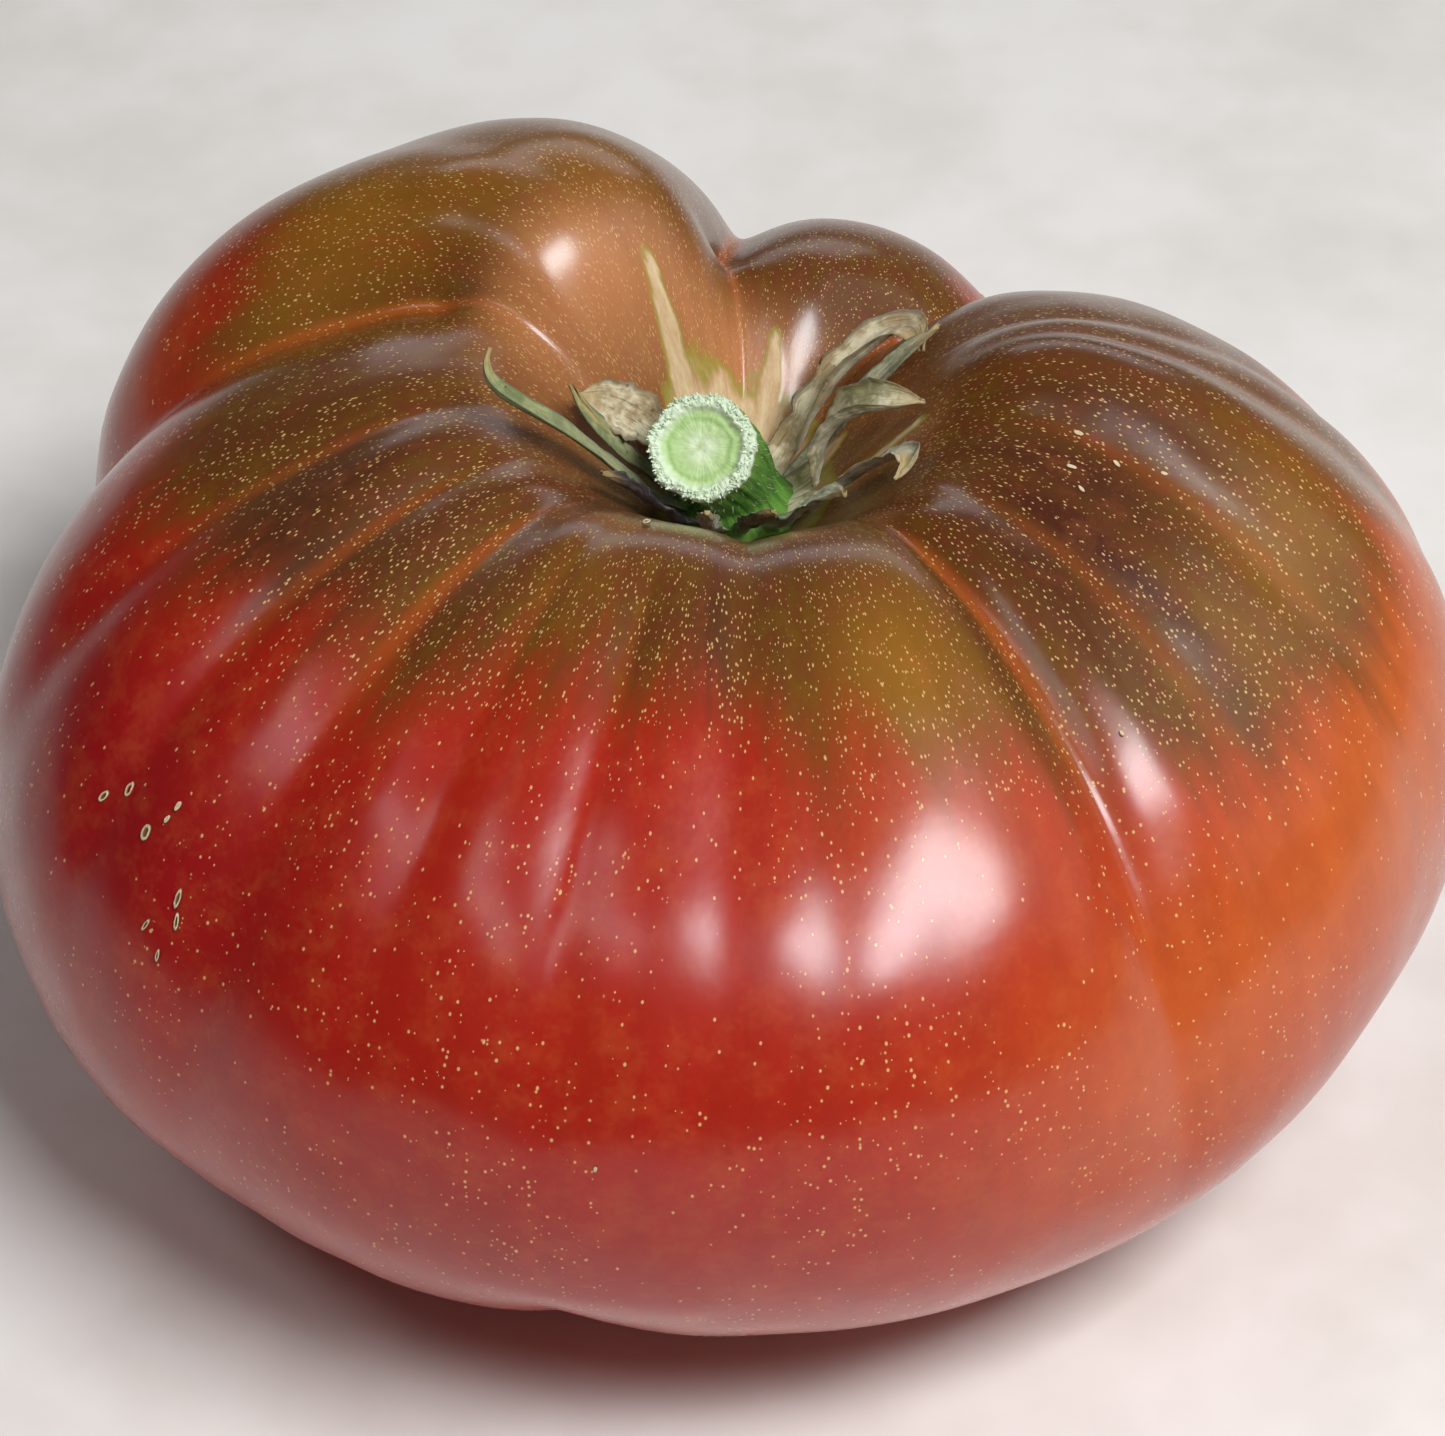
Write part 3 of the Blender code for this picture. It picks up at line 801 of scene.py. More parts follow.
def skin_material():
    """Thin glossy skin over red flesh: green-brown shoulders, dark streaks, golden speckles and dry cork."""
    tones = colours()
    material, tree, shader = new_material(
        "Tomato skin", coat_weight=0.62, coat_roughness=0.23, ior=1.45, specular_ior_level=0.22,
        subsurface_weight=0.12,
        subsurface_scale=0.004, subsurface_radius=(1.0, 0.25, 0.12),
    )
    on_skin = stored(tree, "on_skin", "Vector")
    place = object_place(tree)
    along = stretched(tree, on_skin, (1.0, 1.0, 0.16))
    fine_streaks = cloudy(tree, along, 420.0, 3.0, 0.6)
    broad_streaks = cloudy(tree, along, 120.0, 2.0, 0.5)
    clouds = effect(tree, "Mottle", vector=place, scale=55.0, contrast=1.6)["Value"]
    small_clouds = effect(tree, "Mottle", vector=on_skin, scale=420.0, contrast=1.8)["Value"]

    body = blend_colours(tree, stored(tree, "crimson"), tuple(tones.red), tuple(tones.crimson))
    body = blend_colours(tree, stored(tree, "orange"), body, tuple(tones.orange))
    body = blend_colours(tree, remap(tree, clouds, 0.45, 0.9, 0.0, 0.35), body, srgb(150, 34, 18))

    ragged = calculate(tree, "ADD", stored(tree, "green_shoulder"),
                       calculate(tree, "MULTIPLY", calculate(tree, "SUBTRACT", broad_streaks, 0.5), 1.1))
    fine_ragged = calculate(tree, "MULTIPLY", calculate(tree, "SUBTRACT", fine_streaks, 0.5), 0.5)
    ragged = calculate(tree, "ADD", ragged, fine_ragged)
    green = remap(tree, ragged, 0.15, 0.85, 0.0, 0.94)
    shoulder = blend_colours(tree, remap(tree, small_clouds, 0.30, 0.75), tuple(tones.olive),
                             srgb(78, 40, 18))
    shoulder = blend_colours(tree, stored(tree, "gold"), shoulder, tuple(tones.gold))
    shade = calculate(tree, "ADD", stored(tree, "dark"), calculate(
        tree, "MULTIPLY", stored(tree, "dark_streak"), remap(tree, fine_streaks, 0.3, 0.62, 0.45, 1.0)))
    shade = calculate(tree, "MULTIPLY", shade, 0.78, clamp=True)
    shoulder = blend_colours(tree, shade, shoulder, tuple(tones.dark))
    shoulder = blend_colours(tree, remap(tree, stored(tree, "crease_line"), 0.15, 0.9, 0.0, 0.45), shoulder,
                             tuple(tones.orange))
    body = blend_colours(tree, green, body, shoulder)
    # Painted highlight: a peach glow on the stem cavity's back wall, laid over the shoulders' colour.
    body = blend_colours(tree, calculate(tree, "MULTIPLY", stored(tree, "painted_highlight"), 0.8), body,
                         srgb(206, 136, 86))
    body = blend_colours(tree, remap(tree, fine_streaks, 0.35, 0.75, 0.0, 0.16), body, srgb(96, 30, 14))
    body = blend_colours(tree, remap(tree, small_clouds, 0.35, 0.9, 0.0, 0.10), body, srgb(232, 138, 66))

    spacing = sizes().speckle_spacing
    crowd = calculate(tree, "ADD", remap(tree, stored(tree, "green_shoulder"), 0.0, 0.8, 0.20, 0.85),
                      remap(tree, cloudy(tree, place, 90.0), 0.35, 0.65, -0.18, 0.18))
    speck = effect(tree, "Fine specks", vector=stretched(tree, on_skin, (1.0, 1.0, 0.72)), spacing=spacing,
                   size=0.30, amount=crowd)
    long_way = stretched(tree, on_skin, (1.0, 1.0, 0.6))
    big_speck = effect(tree, "Fine specks", vector=long_way, spacing=spacing * 2.4, size=0.13,
                       amount=calculate(tree, "MULTIPLY", crowd, 0.8))
    shine = calculate(tree, "MAXIMUM", calculate(tree, "MULTIPLY", speck["Mask"], 0.66),
                      calculate(tree, "MULTIPLY", big_speck["Mask"], 0.72))
    body = blend_colours(tree, shine, body, tuple(tones.speckle))

    cork = stored(tree, "cork")
    rim = calculate(tree, "MULTIPLY", remap(tree, cork, 0.05, 0.35), remap(tree, cork, 0.75, 0.45))
    body = blend_colours(tree, calculate(tree, "MULTIPLY", rim, 0.6), body, tuple(tones.cork_edge))
    dry = blend_colours(tree, small_clouds, tuple(tones.cork), srgb(186, 142, 92))
    body = blend_colours(tree, remap(tree, cork, 0.30, 0.95, 0.0, 0.90), body, dry)
    body = blend_colours(tree, stored(tree, "blossom_scar"), body, srgb(126, 88, 52))
    tree.links.new(body, shader.inputs["Base Color"])

    dull = calculate(tree, "MAXIMUM", cork, stored(tree, "blossom_scar"))
    rough = calculate(tree, "ADD", remap(tree, clouds, 0.2, 0.8, 0.24, 0.33),
                      calculate(tree, "MULTIPLY", dull, 0.45))
    tree.links.new(rough, shader.inputs["Roughness"])
    tree.links.new(remap(tree, cork, 0.2, 0.7, 0.62, 0.0), shader.inputs["Coat Weight"])
    height = effect(tree, "Skin grain", vector=on_skin, scale=1500.0, coarse_share=0.35)["Height"]
    normal = bump(tree, height, 0.05, 0.0004)
    raised = calculate(tree, "MAXIMUM", speck["Height"], big_speck["Height"])
    normal = bump(tree, raised, 0.25, 0.00008, normal)
    tree.links.new(normal, shader.inputs["Normal"])
    return material


class TOMATO_OT_fruit(bpy.types.Operator):
    """Build the ribbed fruit with its skin"""

    bl_idname = "tomato.make_fruit"
    bl_label = "Fruit"
    bl_options = {"REGISTER", "UNDO"}

    def execute(self, context):
        make_fruit()
        return {"FINISHED"}


# ---------------------------------------------------------------- marks on the skin
def quad(row, step, after, sides):
    """The corners of the face between two rings of points."""
    return row * sides + step, row * sides + after, (row + 1) * sides + after, (row + 1) * sides + step


def oval_body(middle, normal, along, half_length, half_width, height, ringed, seed):
    """A low oval bump, or an oval ring with a sunken middle, that lies on the skin."""
    across = normal.cross(along).normalized()
    along = across.cross(normal).normalized()
    levels = ((1.0, -0.06), (0.93, 0.55), (0.72, 1.0), (0.5, 0.85 if not ringed else 0.35),
              (0.25, 0.8 if not ringed else 0.0))
    points, faces, sides = [], [], 14
    for share, rise in levels:
        for side in range(sides):
            angle = math.tau * side / sides
            wander = 1 + 0.16 * noise.noise(Vector((math.cos(angle), math.sin(angle), seed * 3.7)) * 1.6)
            lean = 1 + 0.35 * rise * noise.noise(Vector((seed, angle, share)) * 2.0)
            points.append(
                middle + along * (half_length * share * wander * math.cos(angle))
                + across * (half_width * share * wander * math.sin(angle)) + normal * (height * rise * lean)
            )
    for row in range(len(levels) - 1):
        for side in range(sides):
            after = (side + 1) % sides
            faces.append(quad(row, side, after, sides))
    top, low = len(points), len(points) + 1
    points.append(middle + normal * height * (0.0 if ringed else 0.75))
    points.append(middle - normal * 0.12 * MM)
    last = (len(levels) - 1) * sides
    for side in range(sides):
        after = (side + 1) % sides
        faces.append((last + side, last + after, top))
        faces.append((after, side, low))
    rises = [rise for _, rise in levels for _ in range(sides)] + [0.0 if ringed else 0.8, 0.0]
    return points, faces, rises


def each_mark():
    """Every mark of the trails: each is a little smaller than the one above it, and set a little aside."""
    for azimuth, first, last, count, long, wide, ringed in CORK_TRAILS:
        for place in range(count):
            share = first + (last - first) * place / max(count - 1, 1)
            aside = 1.5 * math.sin(azimuth + 2.1 * place)
            shrunk = 0.86 ** place
            yield azimuth + aside, share, long * shrunk, wide * shrunk, 12 * aside, ringed


def make_marks():
    shift = frame_shift()
    bodies, rises = [], []
    for index, (azimuth, share, long, wide, turn, ringed) in enumerate(each_mark()):
        here = skin_point(np.array(azimuth), np.array(share))
        down = skin_point(np.array(azimuth), np.array(share + 0.004)) - here
        across = skin_point(np.array(azimuth + 0.5), np.array(share)) - here
        normal = Vector(np.cross(down, across)).normalized()
        bulge = Vector(outwards(np.array(azimuth), np.array(share)))
        middle = Vector(here) + shift + bulge * 0.10 * MM
        along = Vector(down)
        along.rotate(Matrix.Rotation(math.radians(turn), 3, normal))
        points, faces, heights = oval_body(
            middle, normal, along, long * MM / 2, wide * MM / 2, 0.16 * MM, bool(ringed), index + 1.0
        )
        bodies.append((points, faces))
        rises.extend(heights)
    marks = join_bodies("cork_marks", bodies, {"rise": rises})
    place_piece(marks, mark_material(), "skin")


def mark_material():
    material, tree, shader = new_material("Dry cork mark", ior=1.4)
    place = object_place(tree)
    mottle = effect(tree, "Mottle", vector=place, scale=1400.0, contrast=2.0)["Value"]
    body = blend_colours(tree, remap(tree, stored(tree, "rise"), 0.2, 0.9), srgb(92, 56, 30),
                         tuple(colours().cork))
    body = blend_colours(tree, calculate(tree, "MULTIPLY", mottle, 0.5), body, srgb(140, 96, 52))
    tree.links.new(body, shader.inputs["Base Color"])
    tree.links.new(remap(tree, mottle, 0.0, 1.0, 0.6, 0.85), shader.inputs["Roughness"])
    grain = effect(tree, "Skin grain", vector=place, scale=5200.0, coarse_share=0.5)["Height"]
    tree.links.new(bump(tree, grain, 0.5, 0.0001), shader.inputs["Normal"])
    return material


class TOMATO_OT_marks(bpy.types.Operator):
    """Build the small corky marks on the skin"""

    bl_idname = "tomato.make_marks"
    bl_label = "Cork marks"
    bl_options = {"REGISTER", "UNDO"}

    def execute(self, context):
        make_marks()
        return {"FINISHED"}


# ---------------------------------------------------------------- the stem
STEM_REACH = Vector((-2.8, -4.8, 11.2)) * MM
STEM_RISE = Vector((-0.6, -0.4, 6.0)) * MM
CUT_FACING = Vector((-0.12, -0.68, 0.72))
FLUTES = 7
FLUTE_DEPTH = 0.07
STEM_SIDES = 150
STEM_ROWS = 64
CUT_ROWS = 34


def stem_axes(along):
    """The stem's middle, and its right, front and facing directions, at a place from the foot to the cut."""
    foot = Vector(smooth_point(0, 0)) + Vector((0, 0, sizes().gap))
    middle = foot + STEM_RISE * 2 * along * (1 - along) + STEM_REACH * along * along
    facing = Vector((0, 0, 1)).lerp(CUT_FACING.normalized(), float(smoothstep(0.15, 1.0, along))).normalized()
    right = Vector((1, 0, 0))
    right = (right - facing * right.dot(facing)).normalized()
    return middle, right, right.cross(facing), facing


def stem_radius_at(along, angle):
    size = sizes()
    swell = 1 - float(smoothstep(0.0, size.foot_height / STEM_REACH.z * 1.6, along))
    neck = size.stem_radius * (size.stem_waist + (1 - size.stem_waist) * float(smoothstep(0.4, 0.95, along)))
    radius = neck + (size.foot_radius - neck) * swell
    fine = 0.010 * np.cos(23 * angle + 2.0 * along) + 0.006 * np.cos(41 * angle + 1.0)
    return radius * (1 + FLUTE_DEPTH * (0.3 + 0.7 * swell) * np.cos(FLUTES * angle) + fine)


def make_stem():
    """The foot's underside follows the cavity's floor, the side rises from its edge and the cut closes it."""
    size = sizes()
    shift = np.array(frame_shift())
    angles = np.linspace(0, math.tau, STEM_SIDES, endpoint=False)
    rings, along_values, cut_values, across_values = [], [], [], []

    def add(ring, along, cut, across):
        rings.append(ring)
        along_values.append(np.full(STEM_SIDES, along))
        cut_values.append(np.full(STEM_SIDES, float(cut)))
        across_values.append(np.full(STEM_SIDES, float(across)))

    foot_edge = stem_radius_at(0.0, angles)
    for share in (0.3, 0.6, 0.9):
        add(above_skin(np.degrees(angles), foot_edge * share, size.gap)[0], 0.0, 0, 1)
    for row in range(STEM_ROWS + 1):
        along = 0.16 + 0.84 * row / STEM_ROWS
        middle, right, front, facing = stem_axes(along)
        reach = stem_radius_at(along, angles)
        ring = np.array(middle) + np.outer(np.sin(angles) * reach, right)
        ring = ring + np.outer(np.cos(angles) * reach, front)
        rough = lumps(ring, 1.5 * MM, 5.0, 2) * 0.07 * MM
        flare = 0.06 * MM * float(smoothstep(0.90, 1.0, along))
        side = ring - np.array(middle)
        side /= np.linalg.norm(side, axis=1, keepdims=True)
        ring = ring + side * (rough + flare * (1 + 0.9 * lumps(ring, 0.7 * MM, 6.0)))[:, None]
        add(ring, along, smoothstep(0.955, 1.0, along), 1)
    middle, right, front, facing = stem_axes(1.0)
    rim = rings[-1]
    facing = np.array(facing)
    for row in range(1, CUT_ROWS + 1):
        across = 1 - row / (CUT_ROWS + 0.6)
        ring = np.array(middle) + (rim - np.array(middle)) * across
        band = float(smoothstep(0.70, 0.80, across) * (1 - smoothstep(0.94, 1.0, across)))
        granules = lumps(ring, 0.42 * MM, 7.0, 1)
        fibres = lumps(ring, 0.8 * MM, 8.0, 1)
        core = 1 - float(smoothstep(0.62, 0.76, across))
        rise = band * (0.34 + 0.42 * granules) - core * 0.18 + core * 0.10 * fibres
        rise += 0.10 * math.exp(-((across - 0.58) / 0.05) ** 2) - 0.12 * math.exp(-(across / 0.16) ** 2)
        add(ring + facing * (rise * MM)[:, None], 1.0, 1, across)
    rings = np.array(rings) + shift
    values = {
        "along": np.array(along_values),
        "on_cut": np.array(cut_values),
        "across_cut": np.array(across_values),
    }
    turn = np.tile(np.stack((np.sin(angles), np.cos(angles), np.zeros_like(angles)), -1), (len(rings), 1, 1))
    turn[..., 2] = np.array(along_values) * 2.4
    ends = rings[0].mean(0), rings[-1].mean(0)
    stem = closed_body("stem_cut", rings, *ends, values, {"round_the_stem": turn})
    place_piece(stem, stem_material(), "stem", "stem")


GRANULE_COUNT = 430
HAIR_COUNT = 300


def make_frost():
    """Dry granules that stand on the rim of the cut."""
    random = np.random.default_rng(11)
    shift = frame_shift()
    middle, right, front, facing = stem_axes(1.0)
    bodies, tones = [], []
    for _ in range(GRANULE_COUNT):
        angle = random.uniform(0, math.tau)
        across = random.uniform(0.78, 1.0)
        reach = float(stem_radius_at(1.0, np.array(angle))) * across + 0.1 * MM
        lift = 0.28 * MM if across < 0.97 else random.uniform(-0.5, 0.25) * MM
        root = middle + right * math.sin(angle) * reach + front * math.cos(angle) * reach
        root = root + facing * lift + shift
        outward = right * math.sin(angle) + front * math.cos(angle)
        tip_way = (facing * random.uniform(0.4, 1.0) + outward * random.uniform(0.0, 1.0)
                   + Vector(random.normal(0, 0.3, 3))).normalized()
        radius, height = random.uniform(0.05, 0.12) * MM, random.uniform(0.18, 0.42) * MM
        bodies.append(granule(root, tip_way, radius, height, random))
        tones.extend([random.uniform(0, 1)] * len(bodies[-1][0]))
    frost = join_bodies("stem_frost", bodies, {"tone": tones})
    place_piece(frost, frost_material(), "stem")


def granule(root, way, radius, height, random):
    """A small crumpled peg, wider in the middle."""
    side = way.orthogonal().normalized()
    other = way.cross(side)
    points, faces, sides = [], [], 6
    for share, wide in ((-0.3, 0.7), (0.2, 1.0), (0.7, 0.75)):
        for step in range(sides):
            angle = math.tau * step / sides
            reach = radius * wide * random.uniform(0.75, 1.2)
            rim = root + side * math.cos(angle) * reach + other * math.sin(angle) * reach
            points.append(rim + way * height * share)
    for row in range(2):
        for step in range(sides):
            after = (step + 1) % sides
            faces.append(quad(row, step, after, sides))
    points.append(root - way * height * 0.5)
    points.append(root + way * height)
    for step in range(sides):
        after = (step + 1) % sides
        faces.append((after, step, 3 * sides))
        faces.append((2 * sides + step, 2 * sides + after, 3 * sides + 1))
    return points, faces


def make_hairs():
    """Short white hairs on the stem's side."""
    random = np.random.default_rng(5)
    size, shift = sizes(), frame_shift()
    bodies, tones = [], []
    for _ in range(HAIR_COUNT):
        angle = random.uniform(0, math.tau)
        along = random.uniform(0.22, 0.995)
        middle, right, front, facing = stem_axes(along)
        reach = float(stem_radius_at(along, np.array(angle))) + 0.02 * MM
        outward = right * math.sin(angle) + front * math.cos(angle)
        root = middle + outward * reach + shift
        way = (outward + facing * random.uniform(-0.3, 0.5) + Vector(random.normal(0, 0.25, 3))).normalized()
        long = size.hair_length * random.uniform(0.3, 0.75)
        bodies.append(hair(root, way, facing, long, random.uniform(0.014, 0.024) * MM))
        tones.extend([random.uniform(0, 1)] * len(bodies[-1][0]))
    hairs = join_bodies("stem_hairs", bodies, {"tone": tones})
    place_piece(hairs, hair_material(), "stem")


def hair(root, way, up, long, radius):
    """A tapered three-sided hair that bends upwards a little."""
    side = way.orthogonal().normalized()
    other = way.cross(side)
    points = []
    for share, wide in ((-0.1, 1.0), (0.45, 0.8), (0.85, 0.45)):
        middle = root + way * long * share + up * long * 0.18 * share * share
        for step in range(3):
            angle = math.tau * step / 3
            points.append(middle + (side * math.cos(angle) + other * math.sin(angle)) * radius * wide)
    points.append(root + way * long + up * long * 0.18)
    faces = [(2, 1, 0)]
    for row in range(2):
        for step in range(3):
            after = (step + 1) % 3
            faces.append(quad(row, step, after, 3))
    faces += [(6, 7, 9), (7, 8, 9), (8, 6, 9)]
    return points, faces


def stem_material():
    tones = colours()
    material, tree, shader = new_material(
        "Green stem", ior=1.4, subsurface_weight=0.12, subsurface_scale=0.002,
        subsurface_radius=(0.6, 1.0, 0.3),
    )
    place, turn = object_place(tree), stored(tree, "round_the_stem", "Vector")
    fibres = cloudy(tree, stretched(tree, turn, (1.0, 1.0, 0.12)), 9.0, 4.0, 0.6)
    mottle = effect(tree, "Mottle", vector=place, scale=420.0, contrast=1.8)["Value"]
    along = stored(tree, "along")
    side = blend_colours(tree, remap(tree, fibres, 0.36, 0.62), tuple(tones.stem_dark),
                         tuple(tones.stem_green))
    side = blend_colours(tree, remap(tree, along, 0.75, 1.0, 0.0, 0.45), side, srgb(142, 176, 86))
    side = blend_colours(tree, remap(tree, along, 0.32, 0.14, 0.0, 0.5), side, srgb(92, 108, 44))
    side = blend_colours(tree, calculate(tree, "MULTIPLY", mottle, 0.25), side, srgb(120, 160, 70))
    across = stored(tree, "across_cut")
    wander = calculate(tree, "ADD", across, calculate(tree, "MULTIPLY", calculate(
        tree, "SUBTRACT", cloudy(tree, place, 700.0, 2.0), 0.5), 0.22))
    core = blend_colours(tree, remap(tree, wander, 0.12, 0.42), tuple(tones.cut_pith), tuple(tones.cut_green))
    patches = remap(tree, cloudy(tree, place, 620.0, 1.0), 0.52, 0.68, 0.0, 0.5)
    core = blend_colours(tree, patches, core, srgb(158, 184, 92))
    core = blend_colours(tree, calculate(tree, "MULTIPLY", remap(tree, wander, 0.46, 0.56), remap(
        tree, wander, 0.70, 0.60)), core, srgb(166, 194, 122))
    cut = blend_colours(tree, remap(tree, wander, 0.64, 0.78), core, tuple(tones.frost))
    cut = blend_colours(tree, calculate(tree, "MULTIPLY", mottle, 0.35), cut, srgb(176, 204, 140))
    body = blend_colours(tree, stored(tree, "on_cut"), side, cut)
    tree.links.new(body, shader.inputs["Base Color"])
    tree.links.new(remap(tree, mottle, 0.1, 0.9, 0.42, 0.62), shader.inputs["Roughness"])
    grain = effect(tree, "Skin grain", vector=place, scale=3600.0, coarse_share=0.5)["Height"]
    normal = bump(tree, grain, 0.45, 0.00012)
    normal = bump(tree, fibres, 0.4, 0.0003, normal)
    tree.links.new(normal, shader.inputs["Normal"])
    return material


def frost_material():
    material, tree, shader = new_material("Dry frost on the cut", ior=1.35, subsurface_weight=0.1,
                                          subsurface_scale=0.001)
    tone = stored(tree, "tone")
    body = blend_colours(tree, remap(tree, tone, 0.35, 1.0, 0.0, 0.8), tuple(colours().frost),
                         srgb(188, 212, 156))
    grain = effect(tree, "Mottle", vector=object_place(tree), scale=2600.0, contrast=1.5)["Value"]
    body = blend_colours(tree, calculate(tree, "MULTIPLY", grain, 0.3), body, srgb(246, 250, 236))
    tree.links.new(body, shader.inputs["Base Color"])
    tree.links.new(remap(tree, grain, 0.1, 0.9, 0.45, 0.7), shader.inputs["Roughness"])
    return material


def hair_material():
    material, tree, shader = new_material("Stem hair", ior=1.4)
    tone = stored(tree, "tone")
    body = blend_colours(tree, tone, srgb(214, 224, 190), srgb(168, 190, 126))
    tree.links.new(body, shader.inputs["Base Color"])
    tree.links.new(remap(tree, tone, 0.0, 1.0, 0.4, 0.6), shader.inputs["Roughness"])
    return material


class TOMATO_OT_stem(bpy.types.Operator):
    """Build the cut stem with its frosted rim and hairs"""

    bl_idname = "tomato.make_stem"
    bl_label = "Stem"
    bl_options = {"REGISTER", "UNDO"}

    def execute(self, context):
        make_stem()
        make_frost()
        make_hairs()
        return {"FINISHED"}


# ---------------------------------------------------------------- the sepals
SEPAL_ROWS = 72
SEPAL_CELLS = 15
SEPAL_START = 1.6 * MM          # from the stem's foot to a sepal's root
SEPAL_LIFT = 1.2 * MM           # height of a sepal's root and tip above the skin
HOOK_START = 0.55               # share of the length where a sepal's hook begins
ROUTE_STEPS = 48
BLADE_SPREAD = 1.4              # a dry blade opens wider than its plain solid
TAIL = 0.10                     # a sepal's tail under the foot, as a share of its length
TAIL_SHARE = 0.82               # where the tail begins, as a share of the foot's radius


def sepal_route(root, heading, sweep, hook, length):
    """A sepal's line in plan, from a tail under the stem's foot: places along it, then x and y."""
    size = sizes()
    start = size.foot_radius + SEPAL_START
    along = (np.arange(ROUTE_STEPS) + 0.5) / ROUTE_STEPS
    turn = np.radians(heading + sweep * along + hook * smoothstep(HOOK_START, 1, along))
    step = length * MM / ROUTE_STEPS
    angle = math.radians(root)
    x = math.sin(angle) * start + np.concatenate(((0.0,), np.cumsum(np.sin(turn)) * step))
    y = -math.cos(angle) * start - np.concatenate(((0.0,), np.cumsum(np.cos(turn)) * step))
    tail = size.foot_radius * TAIL_SHARE
    places = np.concatenate(((-TAIL,), np.arange(ROUTE_STEPS + 1) / ROUTE_STEPS))
    return places, np.append(math.sin(angle) * tail, x), np.append(-math.cos(angle) * tail, y)


def over_the_skin(route, along, arch, rise):
    """The points of a sepal's midline at places along it, and the skin's normals under them."""
    places, across_x, across_y = route
    x, y = np.interp(along, places, across_x), np.interp(along, places, across_y)
    inside = np.clip(along, 0, 1)
    lift = SEPAL_LIFT + (arch * np.sin(math.pi * inside) + rise * inside ** 2) * MM
    return above_skin(np.degrees(np.arctan2(x, -y)), np.hypot(x, y), lift)


def make_sepal(name, seed, root, heading, sweep, hook, length, arch, rise, half_width, twist):
    """A thin dry blade with rolled, ragged edges, raised veins and crinkles."""
    size = sizes()
    finish, roll, crinkle, raggedness, fork = SEPAL_LOOKS[name]
    route = sepal_route(root, heading, sweep, hook, length)
    across = np.linspace(-1, 1, SEPAL_CELLS)
    along = np.linspace(0, 1, SEPAL_ROWS)
    notch = fork * (1 - np.abs(across - 0.15)) ** 2
    place = along[:, None] * (1 - notch[None, :] * 0.9) * (1 + TAIL) - TAIL
    inside = np.clip(place, 0, 1)
    width = half_width * BLADE_SPREAD * (0.75 + 0.6 * inside) * (1 - inside ** 4)
    twist = twist * np.sin(math.pi * inside)
    middle, normal = over_the_skin(route, place, arch, rise)
    before, after = (
        over_the_skin(route, np.clip(place + step, -TAIL, 1), arch, rise)[0] for step in (-0.02, 0.02)
    )
    ahead = after - before
    ahead /= np.linalg.norm(ahead, axis=-1, keepdims=True)
    side = np.cross(ahead, normal)
    side /= np.linalg.norm(side, axis=-1, keepdims=True)
    face = np.cross(side, ahead)
    turn = np.radians(twist)[..., None]
    side, face = side * np.cos(turn) + face * np.sin(turn), face * np.cos(turn) - side * np.sin(turn)
    down_the_blade = along[:, None] + np.zeros(SEPAL_CELLS)
    seed_place = np.full((SEPAL_ROWS, SEPAL_CELLS), seed)
    edge_sides = np.sign(across)[None, :] * 3 + along[:, None] * 0
    edge_places = np.stack((down_the_blade * 9, edge_sides, seed_place * 2.3), -1)
    ragged = 1 + raggedness * lumps(edge_places, 1.0, seed, 2) * np.abs(across)[None, :]
    half = np.maximum(width, 0.28) * MM * ragged
    curl = roll * (0.75 + 0.5 * np.sin(along * 5.0 + seed))[:, None] + np.zeros(SEPAL_CELLS)
    sideways = np.sin(curl * across) / curl * half
    rise = (1 - np.cos(curl * across)) / curl * half
    wave_sides = across[None, :] * 1.1 + along[:, None] * 0
    wave_places = np.stack((down_the_blade * 7, wave_sides, seed_place * 5.1), -1)
    waves = lumps(wave_places, 1.0, seed + 3, 2) * crinkle * MM * (0.4 + 0.6 * np.abs(across))[None, :]
    side_veins = np.exp(-((np.abs(across) - 0.5) / 0.1) ** 2)
    veins = 0.07 * MM * (np.exp(-(across / 0.12) ** 2) * 1.4 + side_veins)[None, :]
    calm = smoothstep(0.0, 0.12, along)[:, None]
    sheet = middle + side * sideways[..., None] + face * (rise + waves * calm)[..., None]
    thick = size.sepal_thickness * (0.22 + 0.78 * (1 - np.abs(across) ** 3))[None, :] / 2
    upper = sheet + face * (thick + veins)[..., None]
    lower = (sheet - face * (thick + veins * 0.4)[..., None])[:, ::-1]
    rings = np.concatenate((upper, lower), axis=1) + np.array(frame_shift())
    both_faces = np.zeros((SEPAL_ROWS, 2 * SEPAL_CELLS))
    blade_sides = np.concatenate((across, across[::-1]))[None, :] + both_faces
    blade = np.stack((blade_sides, along[:, None] * 3 + both_faces, both_faces + seed), -1)
    values = {
        "to_edge": np.abs(blade[..., 0]),
        "to_tip": blade[..., 1] / 3,
    }
    ends = rings[0].mean(0), rings[-1].mean(0)
    sepal = closed_body(name.replace("sepal_", "dry_sepal_"), rings, *ends, values,
                        {"on_blade": blade})
    place_piece(sepal, sepal_material(finish), "sepal", name)


